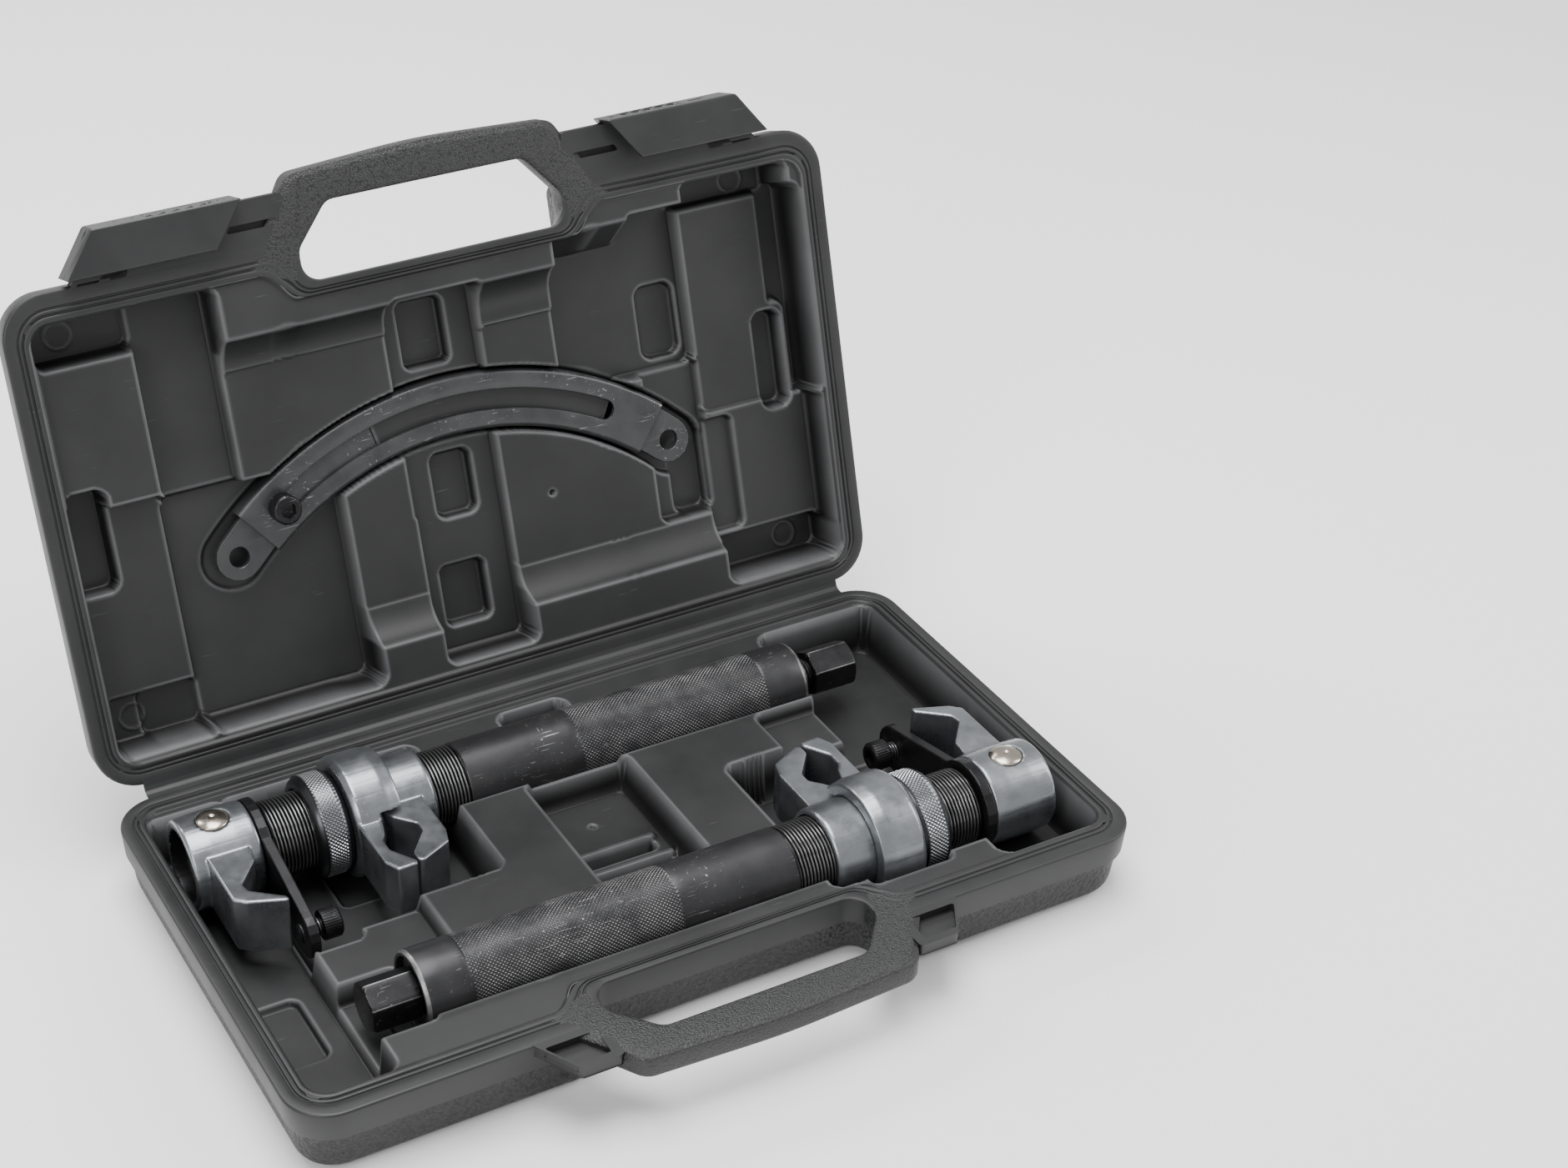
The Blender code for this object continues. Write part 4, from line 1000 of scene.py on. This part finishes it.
def makeTube(side):
    place, body = spindlePlace[side], side + "_tube_group"
    n = tube["threadColumns"]
    outside = [plainRows([(tube["start"], tube["thread"] - 1.6, 0.3),
                          (tube["start"] + 0.1, tube["thread"] - 1.2, 0.5)], n),
               threadRows(tube["start"] + 0.8, tube["threadEnd"] + 0.2, tube["thread"],
                          tube["pitch"], tube["depth"], n)]
    inside = plainRows([(tube["threadEnd"] + 0.2, tube["bore"]),
                        (tube["start"] + 1.0, tube["bore"]),
                        (tube["start"], tube["bore"] + 0.9)], n)
    turned(side + "TubeThread", "thread", body, outside + [inside], n, place,
           (side + "_tube",), loop=True)
    n, r = tube["columns"], tube["radius"]
    grip = [plainRows([(tube["threadEnd"] - 0.1, tube["thread"] - 1.0),
                       (tube["threadEnd"] - 0.1, r - 0.5, 0.6),
                       (tube["threadEnd"] + 0.5, r, 0.4), (tube["threadEnd"] + 1.2, r)]
                      + [(x, r) for x in np.linspace(160, 215, 8)], n),
            knurlRows(tube["knurlStart"], tube["knurlEnd"], r, tube["starts"],
                      tube["knurlDepth"], n),
            plainRows([(338.0, r), (347.0, r), (tube["end"] - 2.3, r, 0.3),
                       (tube["end"] - 1.9, r - 0.12, 1.0), (tube["end"] - 0.5, r - 0.75, 1.0),
                       (tube["end"] - 0.1, r - 1.1, 0.7), (tube["end"], r - 1.5, 0.5),
                       (tube["end"], 18.5), (tube["end"] - 0.4, 18.1),
                       (tube["end"] - 1.0, 18.0), (338.0, 18.0), (338.0, tube["bore"]),
                       (tube["threadEnd"] - 0.1, tube["bore"])], n)]
    turned(side + "TubeGrip", "knurl", body, grip, n, place,
           (side + "_tube",), loop=True)


def makeRingNut(side):
    n, r = ringNut["columns"], ringNut["radius"]
    x0, x1 = ringNut["x0"], ringNut["x1"]
    a, b = ringNut["band"]
    parts = [plainRows([(x0, 21.9), (x0, 24.4), (x0 + 0.25, 25.3), (x0 + 0.9, 26.2),
                        (x0 + 1.8, 26.9), (a - 0.3, r - 0.45), (a - 0.1, r - 0.35)], n),
             knurlRows(a, b, r, ringNut["starts"], ringNut["knurlDepth"], n),
             plainRows([(b + 0.1, r - 0.35), (b + 0.3, r - 0.45), (x1 - 1.8, 26.9),
                        (x1 - 0.9, 26.2), (x1 - 0.25, 25.3), (x1, 24.4), (x1, 21.9),
                        (x1 - 0.9, ringNut["bore"]), (x0 + 0.9, ringNut["bore"])], n)]
    turned(side + "RingNut", "castKnurl", side + "_ring_nut_body", parts, n,
           spindlePlace[side], (side + "_ring_nut",), loop=True)


def makeDriveScrew(side):
    n, r, start = driveScrew["columns"], driveScrew["shank"], driveScrew["hexagon"][side]
    end = start + driveScrew["length"]
    shift = start - 369.0
    parts = [plainRows([(60 + shift, 7.4), (62 + shift, r), (331 + shift, r),
                        (331 + shift, 14.6), (338 + shift, 14.6), (338 + shift, r)], n),
             threadRows(340 + shift, start - 0.6, r + 0.1, driveScrew["pitch"],
                        driveScrew["depth"], n),
             plainRows([(start - 0.2, r - 0.6), (start, r - 0.4)], n),
             hexRows([(start, 0.885), (start + 0.25, 0.925), (start + 0.7, 0.955),
                      (start + 1.3, 0.975), (start + 2.0, 0.985), (end - 2.2, 0.985),
                      (end - 1.4, 0.975), (end - 0.8, 0.955), (end - 0.3, 0.925),
                      (end, 0.87)], driveScrew["flats"], n, 0.9)]
    turned(side + "DriveScrew", "oxide", side + "_drive_screw_body", parts, n,
           spindlePlace[side], (side + "_drive_screw",))


# socket screw: threaded shank, head with fine straight ribs, hexagonal socket
def socketScrew(name, body, tip, seat, top, floor, shank, head, place, centre, stands):
    n = lockScrew["columns"]
    ribs = 0.16 * (np.arange(n) % 4 >= 2)
    side = plainRows([(seat + 0.3, head), (seat + 0.9, head), (top - 1.3, head)], n)
    side = (side[0], side[1] - ribs, side[2] + 0.35 * (ribs == 0))
    parts = [plainRows([(tip, shank - 1.1), (tip + 0.7, shank - 0.5)], n),
             threadRows(tip + 0.8, seat - 0.2, shank, 1.5, 0.75, n),
             plainRows([(seat, shank), (seat, head - 0.3)], n), side,
             plainRows([(top - 1.0, head - 0.3, 0.3), (top - 0.2, head - 0.9, 0.5),
                        (top, head - 1.4), (top, lockScrew["socket"] * 0.5774 + 0.9)], n),
             hexRows([(top, 1.06), (top - 0.5, 0.99), (floor, 0.99)], lockScrew["socket"], n),
             plainRows([(floor - 0.6, 1.0)], n)]
    return turned(name, "oxide", body, parts, n, place, stands, centre=centre)


def makeLockScrew(side):
    socketScrew(side + "LockScrew", side + "_lock_screw_body", 35.6, 48.0, 58.0, 52.8,
                lockScrew["shank"], lockScrew["head"], spindlePlace[side] @ plateTilt,
                (lockScrew["centre"], 0.0), (side + "_lock_screw",))


# rivet: a shank with a shallow dome and a centre dimple at either end
def makeCrossPin(side):
    n = pin["columns"]
    top, under, r = pin["top"], pin["under"], pin["radius"]
    cap = [(under, r - 0.5), (under + 0.35, r - 0.1), (under + 0.9, r), (under + 1.25, r - 0.25),
           (under + 1.7, r - 1.0), (under + 2.2, r - 2.2), (top - 0.55, r - 3.8),
           (top - 0.2, 3.0), (top - 0.12, 2.0), (top - 0.3, 1.3), (top - 0.75, 0.7),
           (top - 0.85, 0.15)]
    pairs = [(-x, radius) for x, radius in cap[::-1]] + [(-under, 5.0), (under, 5.0)] + cap
    toZ = np.array(Matrix.Translation((pin["at"], 0, 0)) @ Matrix.Rotation(-math.pi / 2, 4, "Y"))
    turned(side + "CrossPin", "nickel", side + "_head_group",
           [plainRows(pairs, n)], n, spindlePlace[side] @ toZ, (side + "_cross_pin",), sharp=50)


casting = dict(voxel=0.00062, rounds=9, segments=28,
               turnedRadius={"head": 25.2, "ring": 33.2, "hub": 24.7},
               # the head's bore, painted dark inside as shade with the oxide finish: radius, and where it runs
               # along the axis
               shadedBoreRadius=19.6, shadedBoreSpan=(0.9, 10.5))


# the solid's own mesh, remade finely with every edge rounded over
def roundedSolid(node):
    mesh = node.data.copy()
    mesh.transform(node.matrix_world)
    work = bmesh.new()
    work.from_mesh(mesh)
    bmesh.ops.remove_doubles(work, verts=work.verts, dist=1e-5)
    work.to_mesh(mesh)
    work.free()
    rough = bpy.data.objects.new("rough", mesh)
    bpy.context.scene.collection.objects.link(rough)
    remesh = rough.modifiers.new("remesh", "REMESH")
    remesh.mode, remesh.voxel_size = "VOXEL", casting["voxel"]
    rounding = rough.modifiers.new("rounding", "SMOOTH")
    rounding.factor, rounding.iterations = 0.5, casting["rounds"]
    shaped = bpy.data.meshes.new_from_object(
        rough.evaluated_get(bpy.context.evaluated_depsgraph_get()))
    bpy.data.objects.remove(rough)
    return shaped


# a casting keeps its solid's shape, with the facets turned round: radius over the cosine of
# the angle from the middle of the facet
def makeCasting(side, kind, body):
    node = frame["nodes"][side + "_" + kind + "_jaw"]
    shaped = roundedSolid(node)
    points = np.empty(len(shaped.vertices) * 3)
    shaped.vertices.foreach_get("co", points)
    points = points.reshape(-1, 3) / mm
    place = spindlePlace[side]
    local = (points - place[:3, 3]) @ place[:3, :3]
    radius = np.hypot(local[:, 1], local[:, 2])
    angle = np.arctan2(local[:, 2], local[:, 1])
    facet = math.pi / casting["segments"]
    off = (angle % (2 * facet)) - facet
    full = casting["turnedRadius"][kind]
    share = smooth((full + 3 - radius) / 2.5)
    local[:, 1:] *= 1 + share[:, None] * (np.cos(off) / math.cos(facet) - 1)[:, None]
    points = local @ place[:3, :3].T + place[:3, 3]
    shaped.vertices.foreach_set("co", (points * mm).ravel())
    shaped.shade_smooth()
    shaped.materials.clear()
    shaped.materials.append(looks["cast"])
    shaped.materials.append(looks["oxide"])
    # painted shade: faces inside the head's bore take the dark oxide finish
    if kind == "head":
        low, high = casting["shadedBoreSpan"]
        inside = (radius < casting["shadedBoreRadius"]) & (local[:, 0] < high) & (local[:, 0] > low)
        corners = np.empty(len(shaped.loops), np.int32)
        shaped.loops.foreach_get("vertex_index", corners)
        starts = np.empty(len(shaped.polygons), np.int32)
        shaped.polygons.foreach_get("loop_start", starts)
        shaped.polygons.foreach_set("material_index",
                                    inside[corners[starts]].astype(np.int32))
    obj = bpy.data.objects.new(side + kind.capitalize() + "Casting", shaped)
    bpy.context.scene.collection.objects.link(obj)
    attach(obj, body)
    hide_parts(node.name)


for side in ("rear", "front"):
    makeTube(side)
    makeRingNut(side)
    makeDriveScrew(side)
    makeLockScrew(side)
    makeCrossPin(side)
    makeCasting(side, "head", side + "_head_group")
    makeCasting(side, "ring", side + "_ring_jaw_body")
    makeCasting(side, "hub", side + "_tube_group")
    print(side, "spindle made")

# closed-lid place of a point on the bar: across from the arc, angle along it, depth
def onBar(across, angle, depth):
    r = channel["radius"] + across
    x, s = r * np.sin(angle), channel["middleS"] + r * np.cos(angle)
    return np.stack([x, hingeY - s, lidRim + depth + 0 * x], -1)


# half a channel: an L section swept along the arc; the slot's half width is a semicircle at
# each end and nothing beyond, so that the two halves meet there
def makeChannelHalf(name, sign):
    low, high = (math.radians(a) for a in channel["angles"])
    slotLow, slotHigh = (math.radians(a) for a in channel["slot"])
    fine = channel["slotHalf"] / channel["radius"] * (1 - np.cos(np.linspace(0, np.pi / 2, 12)))
    angles = np.unique(np.concatenate([np.linspace(low, high, channel["steps"]),
                                       slotLow - fine[-1] + fine, slotHigh + fine[-1] - fine]))
    past = np.maximum(np.maximum(slotLow - angles, angles - slotHigh), 0) * channel["radius"]
    width = np.sqrt(np.maximum(channel["slotHalf"] ** 2 - past ** 2, 0))
    edge = np.minimum(width, 1.0) * 0.5
    half, sheet, bend, deep = (channel[key] for key in ("half", "sheet", "bend", "deep"))
    turn = np.linspace(0, np.pi / 2, 7)
    outU = half - bend + bend * np.sin(turn)
    outD = bend - bend * np.cos(turn)
    inner = max(bend - sheet, 0.4)
    inU = half - bend + inner * np.sin(turn[::-1])
    inD = bend - inner * np.cos(turn[::-1])
    fixedU = np.concatenate([outU, [half, half - 0.5, half - sheet + 0.5, half - sheet], inU])
    fixedD = np.concatenate([outD, [deep - 0.6, deep, deep, deep - 0.6], inD])
    across = np.concatenate([
        np.stack([width, width + 0.3 * edge, width + edge], 1),
        fixedU[None, :] + 0 * width[:, None],
        np.stack([width + edge, width], 1)], 1)
    depth = np.concatenate([
        np.stack([edge, 0.3 * edge, 0 * edge], 1), fixedD[None, :] + 0 * width[:, None],
        np.stack([sheet + 0 * edge, sheet - edge], 1)], 1) + channel["top"]
    points = onBar(sign * across, angles[:, None] + 0 * across, depth)
    flat, faces = ringStack(points)
    putPiece(name, flat, faces, "bar", "link_bar_body", place=opened,
             stands=("link_channel",))


makeChannelHalf("channelOuter", 1.0)
makeChannelHalf("channelInner", -1.0)
screwAngle = math.radians(channel["screwAt"])
screwPoint = onBar(0.0, np.array(screwAngle), channel["top"])
facing = np.eye(4)
facing[:3, :3] = np.array([(0, 0, -1), (1, 0, 0), (0, -1, 0)]).T
facing[:3, 3] = screwPoint
socketScrew("clampScrewHead", "clamp_screw_body", -11.6, 0.3, 9.9, 5.4, 5.0, 8.0,
            opened @ facing, (0.0, 0.0), ("clamp_screw",))
print("link bar made")

# merged edges and a small bevel for the solids that keep their own mesh
nodeBevel = dict(lock_plate=0.0008, link_end_tab=0.0006, link_slider=0.0006, end_bush=0.0003,
                 thrust_bearing=0.0003, inner_rod=0.0003, clamp_nut=0.0004)
for node in frame["nodes"].values():
    slotName = next(part["material_slot"] for part in frame["record"]["subparts"]
                    if part["node"] == node.name)
    look = {"case_plastic": "case", "latch_plastic": "latch", "black_steel": "tube",
            "silver_casting": "cast", "nickel": "nickel", "oxide_steel": "oxide",
            "bar_steel": "bar"}[slotName]
    node.data.materials.clear()
    node.data.materials.append(looks[look])
    for ending, width in nodeBevel.items():
        if node.name.endswith(ending):
            weld = node.modifiers.new("weld", "WELD")
            weld.merge_threshold = 1e-5
            bevel = node.modifiers.new("bevel", "BEVEL")
            bevel.width, bevel.segments, bevel.limit_method = width, 3, "ANGLE"
            bevel.angle_limit = math.radians(40)
